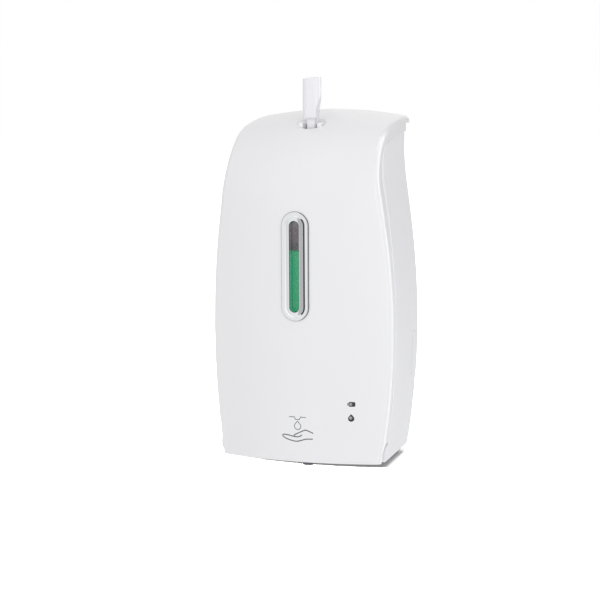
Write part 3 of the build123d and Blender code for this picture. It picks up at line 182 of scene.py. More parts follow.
# Soft lights: bearing from straight ahead and height in degrees, width and height in metres.
KEY_LIGHT = (40.0, 8.0, (1.0, 1.4))
FILL_LIGHT = (-12.0, 50.0, (0.8, 0.8))
GRAZING_LIGHT = (-14.0, 9.5, (0.6, 0.03))
OVERHEAD_LIGHT = (19.0, 65.0, (2.0, 2.0))
# How far off the lights stand, and how far down a direction points where the light from below is full.
LIGHT_REACH = 1.7
BOUNCE_FULL = -0.6

# The floor: half its width, its lines each way, the gap under the nozzle, its tones and its glow.
FLOOR_HALF = 9.0
FLOOR_LINES = 9
FLOOR_GAP = 0.2 * MM
FLOOR_TONES = (0.09, 0.093)
FLOOR_GLOW = (0.15, 1.1)
FLOOR_GLOW_REACH = (0.15, 0.9)

# The camera's sensor in millimetres, and the nearest and farthest that it sees.
SENSOR_WIDTH = 36.0
VIEW_RANGE = (0.05, 50.0)


# Shader maths


def operation(name, reflected=False):
    """Operator that adds one Math node; in a reflected one the wrapped value stands on the right."""

    def method(self, other=0.0):
        first, second = (other, self) if reflected else (self, other)
        return self.owner.node("ShaderNodeMath", {"operation": name}, {0: first, 1: second})

    return method


class Number:
    """A shader value that takes part in Python arithmetic: each operation adds one Math node."""

    def __init__(self, owner, socket):
        self.owner = owner
        self.socket = socket

    __add__, __radd__ = operation("ADD"), operation("ADD", reflected=True)
    __sub__, __rsub__ = operation("SUBTRACT"), operation("SUBTRACT", reflected=True)
    __mul__, __rmul__ = operation("MULTIPLY"), operation("MULTIPLY", reflected=True)
    __truediv__, __rtruediv__ = operation("DIVIDE"), operation("DIVIDE", reflected=True)
    __mod__, __rmod__ = operation("FLOORED_MODULO"), operation("FLOORED_MODULO", reflected=True)
    __pow__, __rpow__ = operation("POWER"), operation("POWER", reflected=True)
    __gt__ = operation("GREATER_THAN")
    __lt__ = operation("LESS_THAN")
    __abs__ = operation("ABSOLUTE")


class ShaderNodes:
    """Adds nodes to a shader tree and joins them."""

    def __init__(self, tree):
        self.tree = tree

    def node(self, kind, settings=None, inputs=None, output=0):
        """Adds a node: settings first, then its sockets' values or links. Gives one of its outputs."""
        made = self.tree.nodes.new(kind)
        for name, value in (settings or {}).items():
            setattr(made, name, value)
        for name, value in (inputs or {}).items():
            self.feed(made.inputs[name], value)
        return Number(self, made.outputs[output])

    def feed(self, socket, value):
        """Links a shader value to a socket, or sets a constant on it."""
        if isinstance(value, Number):
            self.tree.links.new(value.socket, socket)
        else:
            socket.default_value = value


class Finish(ShaderNodes):
    """A procedural material: one Principled shader and the nodes that feed it, on Object coordinates."""

    def __init__(self, name, **constants):
        self.material = bpy.data.materials.new(name)
        self.material.use_nodes = True
        super().__init__(self.material.node_tree)
        self.shader = self.tree.nodes["Principled BSDF"]
        self.set(**constants)
        self.point = self.node("ShaderNodeTexCoord", output="Object")

    def set(self, **values):
        """Feeds the shader's sockets by name, with underscores for spaces."""
        for name, value in values.items():
            self.feed(self.shader.inputs[name.replace("_", " ")], value)

    def noise(self, scale, detail=2.0, stretch=EVEN):
        """Noise from 0 to 1, with a scale per metre and a stretch along the axes."""
        place = self.node("ShaderNodeMapping", {}, {"Vector": self.point, "Scale": stretch})
        return self.node("ShaderNodeTexNoise", {}, {"Vector": place, "Scale": scale, "Detail": detail}, "Fac")

    def cells(self, scale):
        """Distance from the nearest of scattered points, with a scale per metre."""
        return self.node("ShaderNodeTexVoronoi", {}, {"Vector": self.point, "Scale": scale}, "Distance")

    def axis(self, index):
        """One Object coordinate, in metres."""
        return self.node("ShaderNodeSeparateXYZ", {}, {"Vector": self.point}, index)

    def mix(self, share, first, second):
        """Colour between two colours."""
        return self.node("ShaderNodeMix", {"data_type": "RGBA"}, {0: share, 6: first, 7: second}, 2)

    def tones(self, share, colour, low, high):
        """Colour between two tones of one colour."""
        return self.mix(share, shade(colour, low), shade(colour, high))

    def clamp(self, value, low, high):
        """Value taken from a range to 0..1, held at both ends."""
        ranges = {"Value": value, "From Min": low, "From Max": high}
        return self.node("ShaderNodeMapRange", {"clamp": True}, ranges)

    def bump(self, height, depth, strength=1.0):
        """Feeds a height pattern, of a depth in metres, to the shader's normal."""
        inputs = {"Strength": strength, "Distance": depth, "Height": height}
        self.set(Normal=self.node("ShaderNodeBump", {}, inputs, "Normal"))


def shade(colour, factor):
    """Colour times a factor, opaque."""
    return (colour[0] * factor, colour[1] * factor, colour[2] * factor, 1.0)


# Finishes of this dispenser


def moulded(name, colour, roughness, grain=0.00002, grain_scale=900.0, cloud=0.03, coat=0.0):
    """Injection-moulded plastic: faint flow clouds, uneven gloss and a fine eroded grain."""
    finish = Finish(name, IOR=PLASTIC_IOR, Coat_Weight=coat, Coat_Roughness=0.08)
    flow = finish.noise(14.0, detail=3.0, stretch=(1.0, 1.0, 0.45))
    gloss = finish.noise(60.0, detail=3.0)
    finish.set(Base_Color=finish.tones(flow, colour, 1 - cloud, 1))
    finish.set(Roughness=roughness + 0.08 * (gloss - 0.5))
    finish.bump(finish.noise(grain_scale), grain)
    return finish.material


def slot_distance(finish, sizes):
    """Distance of a point from the spine of the window's slot, in metres."""
    low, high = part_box("window_bezel")
    across = finish.axis(0)
    along = abs(finish.axis(2) - (low.z + high.z) / 2) - sizes.spine / 2
    past_end = along * (along > 0.0)
    return (across**2.0 + past_end**2.0) ** 0.5


def polished_chrome(colour, sizes):
    """Bright plating with faint wipe marks and slightly uneven gloss, and a painted shadow in a thin band
    along its outer edge, where the plating is darkened to a tenth for the shade in the gap under the frame.
    """
    finish = Finish("polished_chrome", Metallic=1.0)
    wipe = finish.noise(90.0, detail=4.0, stretch=(1.0, 1.0, 0.12))
    plate = finish.tones(wipe, colour, 0.94, 1)
    edge = sizes.half_width
    # Painted shadow: a thin band along the outer edge is darkened to a tenth, for the shade in the gap under
    # the frame.
    gap = finish.clamp(slot_distance(finish, sizes), edge - sizes.gap, edge - sizes.gap / 2)
    finish.set(Base_Color=finish.mix(gap, plate, shade(colour, 0.1)))
    finish.set(Roughness=0.035 + 0.05 * wipe)
    finish.bump(finish.noise(160.0), 0.000006)
    return finish.material


def clear_plastic(name, colour, roughness, haze):
    """Clear plastic with a little haze that changes over the surface."""
    finish = Finish(name, IOR=PLASTIC_IOR, Transmission_Weight=1.0)
    cloud = finish.noise(120.0, detail=3.0)
    finish.set(Base_Color=finish.tones(cloud, colour, 1 - haze, 1))
    finish.set(Roughness=roughness + 0.03 * cloud)
    finish.bump(finish.noise(70.0), 0.00001)
    return finish.material


def window_plastic(colour, rim, sizes):
    """Clear window with a painted shade in a band along the slot's edge, where its colour darkens for the
    shadow of the slot's walls.
    """
    finish = Finish("window_clear", IOR=1.3, Transmission_Weight=1.0)
    edge = sizes.slot / 2
    # Painted shade: the band along the slot's edge takes the darker second colour.
    band = finish.clamp(slot_distance(finish, sizes), edge - sizes.painted_edge_shade, edge)
    finish.set(Base_Color=finish.mix(band, shade(colour, 1), shade(rim, 1)))
    finish.set(Roughness=0.02 + 0.03 * finish.noise(120.0, detail=3.0))
    finish.bump(finish.noise(70.0), 0.000001)
    return finish.material


def tank_plastic(colour):
    """Natural clear tank wall, a little milky, with flow lines and a faint painted glow above the soap."""
    finish = Finish("tank_plastic", IOR=1.18, Transmission_Weight=0.95, Emission_Strength=1.0)
    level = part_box("soap_fill")[1].z
    above = finish.clamp(finish.axis(2), level + GLOW_ABOVE_SOAP_START, level + GLOW_ABOVE_SOAP_FULL)
    flow = finish.noise(30.0, detail=4.0, stretch=(1.0, 1.0, 0.3))
    # Painted light: above the soap the tank's wall glows faintly.
    finish.set(Emission_Color=finish.mix(above, BLACK, GLOW_ABOVE_SOAP_COLOUR))
    finish.set(Base_Color=finish.tones(flow, colour, 0.95, 1))
    finish.set(Roughness=0.06 + 0.05 * flow)
    finish.bump(finish.noise(200.0), 0.000001)
    return finish.material


def soap_liquid(colour, glow):
    """Green liquid soap that glows with painted light, the glow dimmer towards the bottom, with small bubbles
    whose middles glow brighter as painted highlights.
    """
    low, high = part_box("soap_fill")
    finish = Finish("soap_liquid", IOR=1.36, Emission_Strength=glow)
    depth = finish.clamp(finish.axis(2), low.z, high.z)
    cloud = finish.noise(45.0, detail=3.0)
    bubbles = finish.cells(420.0)
    bubble_highlight = finish.clamp(bubbles, 0.16, 0.08)
    share = 0.75 * depth + 0.25 * cloud
    body = finish.tones(share, colour, 0.86, 1.06)
    # Painted light: the soap glows in its own colour, brighter in the bubbles' middles as painted highlights.
    finish.set(Emission_Color=finish.mix(bubble_highlight, body, shade(colour, 1.25)))
    finish.set(Base_Color=finish.tones(share, colour, 0.25, 0.4))
    finish.set(Roughness=0.16 + 0.1 * cloud)
    finish.bump(bubbles, 0.00004, strength=0.4)
    return finish.material


def plain_metal(name, colour, roughness, lines=EVEN):
    """Turned or drawn metal with fine tool lines and faint stains."""
    finish = Finish(name, Metallic=1.0)
    drawn = finish.noise(1400.0, detail=3.0, stretch=lines)
    stain = finish.noise(70.0, detail=4.0)
    finish.set(Base_Color=finish.tones(stain, colour, 0.8, 1))
    finish.set(Roughness=roughness + 0.16 * (drawn - 0.5) + 0.1 * (stain - 0.5))
    finish.bump(drawn, 0.000012)
    return finish.material


def soft_rubber(name, colour, roughness):
    """Rubber or silicone with a dusty bloom."""
    finish = Finish(name, IOR=1.45)
    bloom = finish.noise(150.0, detail=4.0)
    finish.set(Base_Color=finish.tones(bloom, colour, 0.85, 1.25))
    finish.set(Roughness=roughness + 0.15 * (bloom - 0.5))
    finish.bump(finish.noise(1500.0), 0.00002)
    return finish.material


def track_lines(place, wander, per_metre, half_width):
    """1 on evenly spaced lines that wander a little, 0 between them."""
    return abs((place * per_metre + 1.6 * wander) % 1.0 - 0.5) < half_width


def circuit_board(name, mask, across, up):
    """Solder mask over copper: lanes of tracks along two axes, with round pads."""
    finish = Finish(name, IOR=1.5)
    lane = finish.noise(160.0, detail=0.0)
    along = track_lines(finish.axis(across), lane, per_metre=620.0, half_width=0.17)
    crossing = track_lines(finish.axis(up), lane, per_metre=540.0, half_width=0.15)
    area = finish.noise(75.0, detail=0.0) > 0.5
    tracks = along * area + crossing * (1.0 - area)
    pads = finish.cells(230.0) < 0.2
    green = finish.tones(tracks, mask, 0.75, 1.5)
    finish.set(Base_Color=finish.mix(pads, green, (0.72, 0.70, 0.62, 1.0)))
    finish.set(Metallic=0.8 * pads)
    finish.set(Roughness=0.42 - 0.12 * pads + 0.06 * lane)
    finish.bump(tracks + pads, 0.00003)
    return finish.material


def cell_jacket(jacket, band):
    """Printed film on the cells: every other cell is turned end for end, with a band at its positive end."""
    low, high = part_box("battery_cells")
    finish = Finish("cell_jacket", Metallic=0.55)
    pitch = (high.x - low.x) / 4
    place = (finish.axis(0) - low.x) / pitch
    turned = (place % 2.0) > 1.0
    share = finish.clamp(finish.axis(2), low.z, high.z)
    rise = share + turned * (1.0 - 2.0 * share)
    scuff = finish.noise(180.0, detail=4.0, stretch=(1.0, 1.0, 0.2))
    printed = finish.mix(rise > 0.72, shade(jacket, 1), shade(band, 1))
    bare_end = (rise > 0.965) + (rise < 0.03)
    finish.set(Base_Color=finish.mix(bare_end, printed, (0.62, 0.62, 0.63, 1.0)))
    finish.set(Roughness=0.26 + 0.14 * scuff)
    finish.bump(scuff, 0.00001)
    return finish.material


def printed_ink(name, colour):
    """Screen-printed ink: matt, with slightly thin places."""
    finish = Finish(name, IOR=1.45)
    thin = finish.noise(700.0, detail=3.0)
    finish.set(Base_Color=finish.tones(thin, colour, 0.85, 1.2))
    finish.set(Roughness=0.5 + 0.15 * thin)
    finish.bump(thin, 0.00001)
    return finish.material


# Shapes as arrays


def round_angles(count):
    """Angles spread evenly over a full turn."""
    return np.linspace(0, 2 * math.pi, count, endpoint=False)


def grid_faces(rows, columns, around=False):
    """Quads of a grid of points, row by row; around joins the last column to the first."""
    span = columns if around else columns - 1
    row, column = np.meshgrid(np.arange(rows - 1) * columns, np.arange(span), indexing="ij")
    after = (column + 1) % columns
    corners = [row + column, row + after, row + columns + after, row + columns + column]
    return np.stack(corners, axis=-1).reshape(-1, 4).tolist()


def ring_faces(rows, columns, flip=False):
    """Quads of a grid that closes on itself both ways."""
    row, column = np.meshgrid(np.arange(rows) * columns, np.arange(columns), indexing="ij")
    next_row = (row + columns) % (rows * columns)
    after = (column + 1) % columns
    corners = [row + column, next_row + column, next_row + after, row + after]
    return np.stack(corners[::-1] if flip else corners, axis=-1).reshape(-1, 4).tolist()


def closed_tube(points, flip=False):
    """Faces of a tube of closed rows: quads between rows and one polygon over each end."""
    rows, columns = points.shape[:2]
    first = np.arange(columns)[::-1].tolist()
    last = np.arange((rows - 1) * columns, rows * columns).tolist()
    faces = [*grid_faces(rows, columns, around=True), first, last]
    return [face[::-1] for face in faces] if flip else faces


def joined(parts):
    """One list of points and faces from several (points, faces) pairs."""
    points, faces, start = [], [], 0
    for part_points, part_faces in parts:
        flat = part_points.reshape(-1, 3)
        points.append(flat)
        faces += [[start + corner for corner in face] for face in part_faces]
        start += len(flat)
    return np.concatenate(points), faces


def add_object(name, points, faces, material):
    """Puts arrays into a mesh with a finish, on an object at the origin."""
    mesh = bpy.data.meshes.new(name)
    mesh.from_pydata(points.reshape(-1, 3), [], faces)
    if mesh.validate():
        raise RuntimeError(f"{name} has faces that Blender had to mend")
    mesh.materials.append(material)
    made = bpy.data.objects.new(name, mesh)
    bpy.context.scene.collection.objects.link(made)
    return made


def add_piece(name, points, faces, material, body, slot):
    """Makes a smooth piece that rides on a body."""
    piece = add_object(name, points, faces, material)
    piece.data.polygons.foreach_set("use_smooth", np.ones(len(faces), bool))
    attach(piece, body)
    return piece


def curve_through(corners, count):
    """Smooth line through points: each stretch is a cubic whose slopes follow the neighbouring points."""
    corners = np.asarray(corners, float)
    before = np.concatenate([corners[:1], corners[:-1]])
    after = np.concatenate([corners[1:], corners[-1:]])
    slopes = (after - before) / 2
    steps = np.linspace(0, len(corners) - 1, count)
    index = np.minimum(steps.astype(int), len(corners) - 2)
    t = (steps - index)[:, None]
    start, end = corners[index], corners[index + 1]
    lift = slopes[index] * (t**3 - 2 * t**2 + t) + slopes[index + 1] * (t**3 - t**2)
    return start * (2 * t**3 - 3 * t**2 + 1) + end * (3 * t**2 - 2 * t**3) + lift


def cover_depth(x, height, cover):
    """Depth of the cover's front: a cylinder of the crown's radius on a line that leans back downwards."""
    lean = np.maximum(cover.front_top - height, 0) * math.tan(cover.front_lean)
    return COVER_FRONT + lean + cover.crown - np.sqrt(cover.crown**2 - x**2)


def on_cover(x, height, proud, cover):
    """Points that stand proud of the cover's front."""
    depth = cover_depth(x, height, cover) - proud
    return np.stack([x, depth, height + COVER_BOTTOM], axis=-1)


def stroke(line, width, thickness, cover, closed=False):
    """Raised line on the cover: a flat oval carried along a path, with round ends where the path is open.

    At each angle round the oval a point lies cos(angle) times half the width beside the path, and sin(angle)
    times the thickness off the cover. Towards a round end both shrink as the cosine of the end's bend.
    """
    line = np.asarray(line, float)
    if closed:
        ahead = (np.roll(line, -1, axis=0) - np.roll(line, 1, axis=0)) / 2
    else:
        ahead = np.gradient(line, axis=0)
    ahead /= np.linalg.norm(ahead, axis=1)[:, None]
    scale = np.ones(len(line))
    if not closed:
        bend = np.linspace(STROKE_CAP_END, 0, STROKE_CAP_STEPS)[:-1]
        reach = (width / 2 * np.sin(bend))[:, None]
        start, end = line[:1] - reach * ahead[:1], line[-1:] + reach[::-1] * ahead[-1:]
        line = np.concatenate([start, line, end])
        scale = np.concatenate([np.cos(bend), scale, np.cos(bend)[::-1]])
        ahead = np.pad(ahead, ((len(bend), len(bend)), (0, 0)), mode="edge")
    across = np.stack([-ahead[:, 1], ahead[:, 0]], axis=-1)
    angle = round_angles(STROKE_SIDES)
    offset = across[:, None, :] * (np.cos(angle)[None, :, None] * scale[:, None, None] * width / 2)
    place = line[:, None, :] + offset
    rise = np.sin(angle)[None, :] * scale[:, None] * thickness
    points = on_cover(place[..., 0], place[..., 1], rise, cover)
    if closed:
        return points, ring_faces(len(line), STROKE_SIDES, flip=True)
    return points, closed_tube(points)


def film(outer, inner, thickness, cover):
    """Thin film on the cover between two closed outlines: top and underside meet at both edges."""
    shares = np.array([0.0, 0.04, 0.5, 0.96, 1.0, 0.5])
    rises = np.array([-0.3, 1.0, 1.0, 1.0, -0.3, -0.3]) * thickness
    place = inner[:, None, :] + shares[None, :, None] * (outer - inner)[:, None, :]
    points = on_cover(place[..., 0], place[..., 1], np.broadcast_to(rises, place.shape[:2]), cover)
    return points, ring_faces(len(outer), len(shares), flip=True)


def arc(middle, reach, start, end, count):
    """Points of an oval's arc between two angles in degrees, as (across, up) pairs."""
    angle = np.radians(np.linspace(start, end, count))
    return np.stack([middle[0] + reach[0] * np.cos(angle), middle[1] + reach[1] * np.sin(angle)], axis=-1)


def circle(middle, centre, radius, count=48):
    """Points round a circle."""
    angle = round_angles(count)
    return np.stack([middle + radius * np.cos(angle), centre + radius * np.sin(angle)], axis=-1)


def drop_outline(middle, centre, radius, reach, count=64):
    """Outline of a drop: a circle with two straight flanks from the tip that touch it.

    At an angle a from straight up the outline is radius / cos(touch - |a|) away from the circle's centre,
    where touch is the angle at which the flanks meet the circle.
    """
    touch = math.acos(radius / reach)
    around = circle(0.0, 0.0, 1.0, count)
    from_top = np.abs(np.arctan2(around[:, 0], around[:, 1]))
    away = radius / np.cos(np.maximum(touch - from_top, 0))
    return np.array((middle, centre)) + away[:, None] * around


def round_box(left, right, low, high, corner, count=48):
    """Outline of a box whose corners are rounded: a circle's points pushed out to the box's sides."""
    angle = round_angles(count)
    x, y = np.cos(angle), np.sin(angle)
    reach_x, reach_y = (right - left) / 2 - corner, (high - low) / 2 - corner
    place_x = (left + right) / 2 + np.clip(x * 4, -1, 1) * reach_x + corner * x
    place_y = (low + high) / 2 + np.clip(y * 4, -1, 1) * reach_y + corner * y
    return np.stack([place_x, place_y], axis=-1)


def islands(node):
    """The separate solids of a node, each as an array of points: labels spread over shared corners."""
    mesh = nodes[node].data
    points = np.empty(len(mesh.vertices) * 3)
    mesh.vertices.foreach_get("co", points)
    points = points.reshape(-1, 3)
    corners = np.empty(len(mesh.loops), int)
    mesh.loops.foreach_get("vertex_index", corners)
    _, same = np.unique(np.round(points, 6), axis=0, return_inverse=True)
    same = same.reshape(-1)
    triangles = same[corners].reshape(-1, 3)
    label = np.arange(same.max() + 1)
    while True:
        lowest = np.repeat(label[triangles].min(axis=1), 3)
        spread = label.copy()
        np.minimum.at(spread, triangles.ravel(), lowest)
        if np.array_equal(spread, label):
            break
        label = spread
    of_point = label[same]
    return [points[of_point == value] for value in np.unique(of_point)]


def other_axes(axis):
    """The two axis numbers beside one."""
    return [other for other in range(3) if other != axis]


def screw_axis(points):
    """Axis number, direction towards the head, middle of the head's face and length of a plain screw."""
    low, high = points.min(axis=0), points.max(axis=0)
    for axis in range(3):
        widths = []
        for end in (low, high):
            near = points[np.abs(points[:, axis] - end[axis]) < SCREW_END_BAND]
            widths.append(np.ptp(near, axis=0)[other_axes(axis)].min())
        if min(widths) > SCREW_LEAST_WIDTH:
            side = 1 if widths[1] > widths[0] else -1
            head = (low + high) / 2
            head[axis] = high[axis] if side > 0 else low[axis]
            return axis, side, head, high[axis] - low[axis]
    raise RuntimeError("a fastener has no round ends")


def pan_screw(axis, side, head, length, sizes):
    """Screw: a profile turned about its axis, with a cross recess in the head and a thread on the shank.

    The dome falls as the cube of the radius. The thread's depth follows a triangle wave of turns plus angle.
    The cross is where the smaller of |x| and |y| is under an arm's width, inside the reach of the recess.
    """
    wide, tall, radius = sizes.head_radius, sizes.head_height, sizes.shank_radius
    angle = round_angles(SCREW_COLUMNS)
    share = np.linspace(0.03, 0.94, SCREW_DOME_ROWS)
    dome = np.stack([share * wide, -0.25 * tall * share**3], axis=-1)
    rim = np.array([(wide, -0.42 * tall), (wide, -0.97 * tall), (0.97 * wide, -tall)])
    depths = np.arange(-tall, -length + SCREW_TIP, -sizes.thread_pitch / 4)
    shank = np.stack([np.full_like(depths, radius), depths], axis=-1)
    tip = np.array([(0.7 * radius, -length + SCREW_TIP_CHAMFER), (0.1 * radius, -length)])
    profile = np.concatenate([dome, rim, shank, tip])
    reach = np.repeat(profile[:, :1], SCREW_COLUMNS, axis=1)
    level = np.repeat(profile[:, 1:], SCREW_COLUMNS, axis=1)
    threaded = slice(len(dome) + len(rim) + 1, len(profile) - len(tip))
    wind = (level[threaded] / sizes.thread_pitch + angle / (2 * math.pi)) % 1.0
    reach[threaded] -= sizes.thread_depth * np.abs(2 * wind - 1)
    x, y = reach * np.cos(angle), reach * np.sin(angle)
    arm = np.minimum(np.abs(x), np.abs(y)) / (0.16 * wide)
    inside = np.clip(1.6 - arm, 0, 1) * np.clip((0.62 * wide - reach) / (0.12 * wide), 0, 1)
    level[:len(dome)] -= inside[:len(dome)] * sizes.recess_depth
    first, second = other_axes(axis)
    points = np.empty((*reach.shape, 3))
    points[..., first] = head[first] + x
    points[..., second] = head[second] + y
    points[..., axis] = head[axis] + side * level
    # Round the middle axis the other two follow each other the other way.
    handed = -side if axis == 1 else side
    return points, closed_tube(points, flip=handed > 0)


def coil(centre, radius, wire, bottom, top, turns):
    """Compression spring: a round wire along a helix whose end turns lie flat."""
    t = np.linspace(0, 1, SPRING_ROWS)
    turn = 2 * math.pi * turns * t
    rise = np.clip((t - SPRING_FLAT_SHARE) / (1 - 2 * SPRING_FLAT_SHARE), 0, 1)
    height = bottom + wire / 2 + (top - bottom - wire) * rise
    middle = np.stack([radius * np.cos(turn), radius * np.sin(turn), height], axis=-1)
    ahead = np.gradient(middle, axis=0)
    ahead /= np.linalg.norm(ahead, axis=1)[:, None]
    outward = np.stack([np.cos(turn), np.sin(turn), np.zeros(SPRING_ROWS)], axis=-1)
    upward = np.cross(ahead, outward)
    angle = round_angles(SPRING_SIDES)[None, :, None]
    ring = outward[:, None] * np.cos(angle) + upward[:, None] * np.sin(angle)
    points = middle[:, None] + ring * wire / 2 + np.asarray(centre)
    return points, closed_tube(points)


def frame_profile(sizes):
    """Section of the window frame, as (distance from the slot's spine, rise off the cover) pairs.

    A rounded outer edge, a flat ring, a step at 45 degrees, an inner ring that rises to the slot as a
    parabola, the slot's wall, and the neck behind the cover.
    """
    half, slot, flat, soft = sizes.half_width, sizes.slot / 2, sizes.outer_proud, sizes.edge
    foot = slot + sizes.inner_ring + sizes.step
    top = flat + sizes.step
    away = np.linspace(1, 0, 10)
    fall = (0.6 * away + 0.4 * away**2) * (sizes.proud - top)
    inner_ring = np.stack([slot + soft + away * (sizes.inner_ring - soft), sizes.proud - fall], axis=-1)
    rows = [
        arc((half - sizes.outer_round, 0.1 * flat), (sizes.outer_round, 0.9 * flat), 0, 90, 10),
        np.array([(foot + soft, flat), (foot, flat + 0.1 * soft), (foot - soft, flat + soft)]),
        np.array([(slot + sizes.inner_ring + soft, top - soft)]),
        inner_ring,
        arc((slot + soft, sizes.proud - soft), (soft, soft), 100, 180, 5),
        np.array([(slot, -sizes.neck_depth), (sizes.neck_half, -sizes.neck_depth), (sizes.neck_half, 0.0)]),
    ]
    return np.concatenate(rows)


def window_ring(sizes, cover, count=72):
    """The frame's section carried round the slot: two half circles on a straight spine, on the leaning front.

    The first and last points of the section lie on the cover's crown, which falls as across squared over
    twice its radius, so that the frame sits on it.
    """
    section = frame_profile(sizes)
    away, rise = section[None, :, 0], section[None, :, 1]
    angle = round_angles(count) + math.pi / count
    spine = np.where(np.sin(angle) > 0, 1.0, -1.0) * sizes.spine / 2
    across = away * np.cos(angle)[:, None]
    along = away * np.sin(angle)[:, None] + spine[:, None]
    on_crown = np.zeros(len(section))
    on_crown[[0, -1]] = 1.0
    rise = rise - on_crown * (rise + across**2 / (2 * cover.crown))
    low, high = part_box("window_bezel")
    height = (low.z + high.z) / 2
    depth = cover_depth(0.0, height - COVER_BOTTOM, cover)
    sine, cosine = math.sin(cover.front_lean), math.cos(cover.front_lean)
    y = depth - along * sine - rise * cosine
    z = height + along * cosine - rise * sine
    return np.stack([across, y, z], axis=-1), ring_faces(*across.shape)


# What a user would change


def number_setting(name, description, default, **kind):
    """A number setting; kind holds its subtype, unit and precision."""
    return bpy.props.FloatProperty(name=name, description=description, default=default, **kind)


def vector_setting(name, description, default, **kind):
    """A setting of three numbers; kind holds its subtype, unit and limits."""
    return bpy.props.FloatVectorProperty(name=name, description=description, default=default, size=3, **kind)


# Kinds of settings
Colour = partial(vector_setting, min=0.0, max=1.0, subtype="COLOR")
Length = partial(number_setting, precision=5, subtype="DISTANCE", unit="LENGTH")
Angle = partial(number_setting, subtype="ANGLE", unit="ROTATION")
Power = partial(number_setting, unit="POWER")


class DispenserColours(bpy.types.PropertyGroup):
    """Colours of the dispenser's finishes."""

    cover: Colour("Cover", "Gloss plastic of the cover", (0.83, 0.83, 0.845))
    key: Colour("Key", "Gloss plastic of the release key", (0.84, 0.835, 0.875))
    housing: Colour("Housing", "Satin plastic of the wall housing", (0.80, 0.80, 0.83))
    chrome: Colour("Window frame", "Plating of the window frame", (0.88, 0.89, 0.91))
    soap: Colour("Soap", "Liquid soap", (0.012, 0.375, 0.165))
    sign: Colour("Signs", "Ink of the hand sign", (0.11, 0.11, 0.12))
    icon: Colour("Icons", "Dark film round the indicator lights", (0.035, 0.035, 0.04))
    frame: Colour("Frame", "Plastic of the inner frame", (0.42, 0.43, 0.46))
    pump: Colour("Pump", "Plastic of the pump and battery box", (0.045, 0.045, 0.05))
    board: Colour("Boards", "Solder mask of the circuit boards", (0.02, 0.16, 0.07))
    cell: Colour("Cells", "Film on the battery cells", (0.05, 0.12, 0.22))
    cell_band: Colour("Cell band", "Band at the positive end of a cell", (0.62, 0.42, 0.12))


class CoverSurface(bpy.types.PropertyGroup):
    """Form of the cover's front, for what sits on it."""

    crown: Length("Crown radius", "Radius of the front's crown across", 187 * MM)
    front_top: Length("Front top", "Height where the straight front ends", 185.7 * MM)
    front_lean: Angle("Front lean", "Lean of the front", math.radians(1.0))


class WindowFrameSizes(bpy.types.PropertyGroup):
    """Section of the chrome frame round the window."""

    half_width: Length("Half width", "From the slot's spine to the outer edge", 10.15 * MM)
    spine: Length("Spine", "Length of the straight sides", 57.4 * MM)
    slot: Length("Slot", "Width of the sight slot", 7.4 * MM)
    proud: Length("Inner ring", "Rise of the inner ring at the slot", 2.5 * MM)
    outer_proud: Length("Outer ring", "Rise of the outer ring", 0.8 * MM)
    outer_round: Length("Outer rounding", "Width of the rounded outer edge", 1.0 * MM)
    inner_ring: Length("Inner ring width", "Width of the inner ring", 2.75 * MM)
    step: Length("Step", "Width and height of the step between the rings", 1.0 * MM)
    edge: Length("Edge", "Rounding of the step and of the slot", 0.08 * MM)
    neck_half: Length("Neck", "Half the width of the neck in the cover", 8.3 * MM)
    neck_depth: Length("Neck depth", "Depth of the neck", 3.4 * MM)
    # Width of the painted shadow along the frame's outer edge, for the shade in the gap under it.
    gap: Length("Gap", "Width of the dark gap along the outer edge", 0.4 * MM)
    # Width of the painted shade along the window's edge, for the shadow of the slot's walls.
    painted_edge_shade: Length("Rim band", "Width of the dark band at the window's edge", 1.1 * MM)


class SignSizes(bpy.types.PropertyGroup):
    """Sizes of the signs printed on the cover."""

    line: Length("Line width", "Width of the hand sign's lines", 0.75 * MM)
    thin_line: Length("Thin line width", "Width of the spout's and the drop's lines", 0.5 * MM)
    ink: Length("Ink thickness", "How far the ink stands proud", 0.05 * MM)
    film: Length("Film thickness", "How far the icons stand proud", 0.08 * MM)


class FastenerSizes(bpy.types.PropertyGroup):
    """Sizes of the small screws."""

    head_radius: Length("Head radius", "Radius of a screw head", 2.5 * MM)
    head_height: Length("Head height", "Height of a screw head", 1.6 * MM)
    shank_radius: Length("Shank radius", "Outer radius of the thread", 1.25 * MM)
    thread_pitch: Length("Thread pitch", "Rise of the thread in one turn", 0.8 * MM)
    thread_depth: Length("Thread depth", "Depth of the thread", 0.22 * MM)
    recess_depth: Length("Recess depth", "Depth of the cross recess", 0.9 * MM)


class StageSettings(bpy.types.PropertyGroup):
    """Camera, floor and lights."""

    camera_place: vector_setting(
        "Camera place",
        "Where the camera stands",
        (0.39855, -1.23836, 0.11954),
        subtype="TRANSLATION",
        unit="LENGTH",
    )
    camera_yaw: Angle("Camera yaw", "Turn to the side", math.radians(19.06))
    camera_pitch: Angle("Camera pitch", "Look downwards", math.radians(6.69))
    focal_length: number_setting(
        "Focal length", "Of the camera, on a 36 mm sensor", 103.72, subtype="DISTANCE_CAMERA"
    )
    ambient: number_setting("Ambient", "Strength of the soft light all round", 0.74)
    bounce: number_setting("Bounce", "Strength of the soft light from below", 0.92)
    key_power: Power("Key light", "Power of the large light at the right", 9.5)
    fill_power: Power("Fill light", "Power of the light above the front", 2.0)
    floor_power: Power("Floor light", "Power of the light that only the floor takes", 1100.0)
    grazing_power: Power("Grazing light", "Power of the low light that only the floor takes", 2600.0)


# Operators


class Dispenser:
    """What the operators share."""

    bl_options = {"REGISTER", "UNDO"}

    def paint(self, material, *names):
        """Gives CAD nodes one finish."""
        for name in names:
            mesh = nodes[name].data
            mesh.materials.clear()
            mesh.materials.append(material)


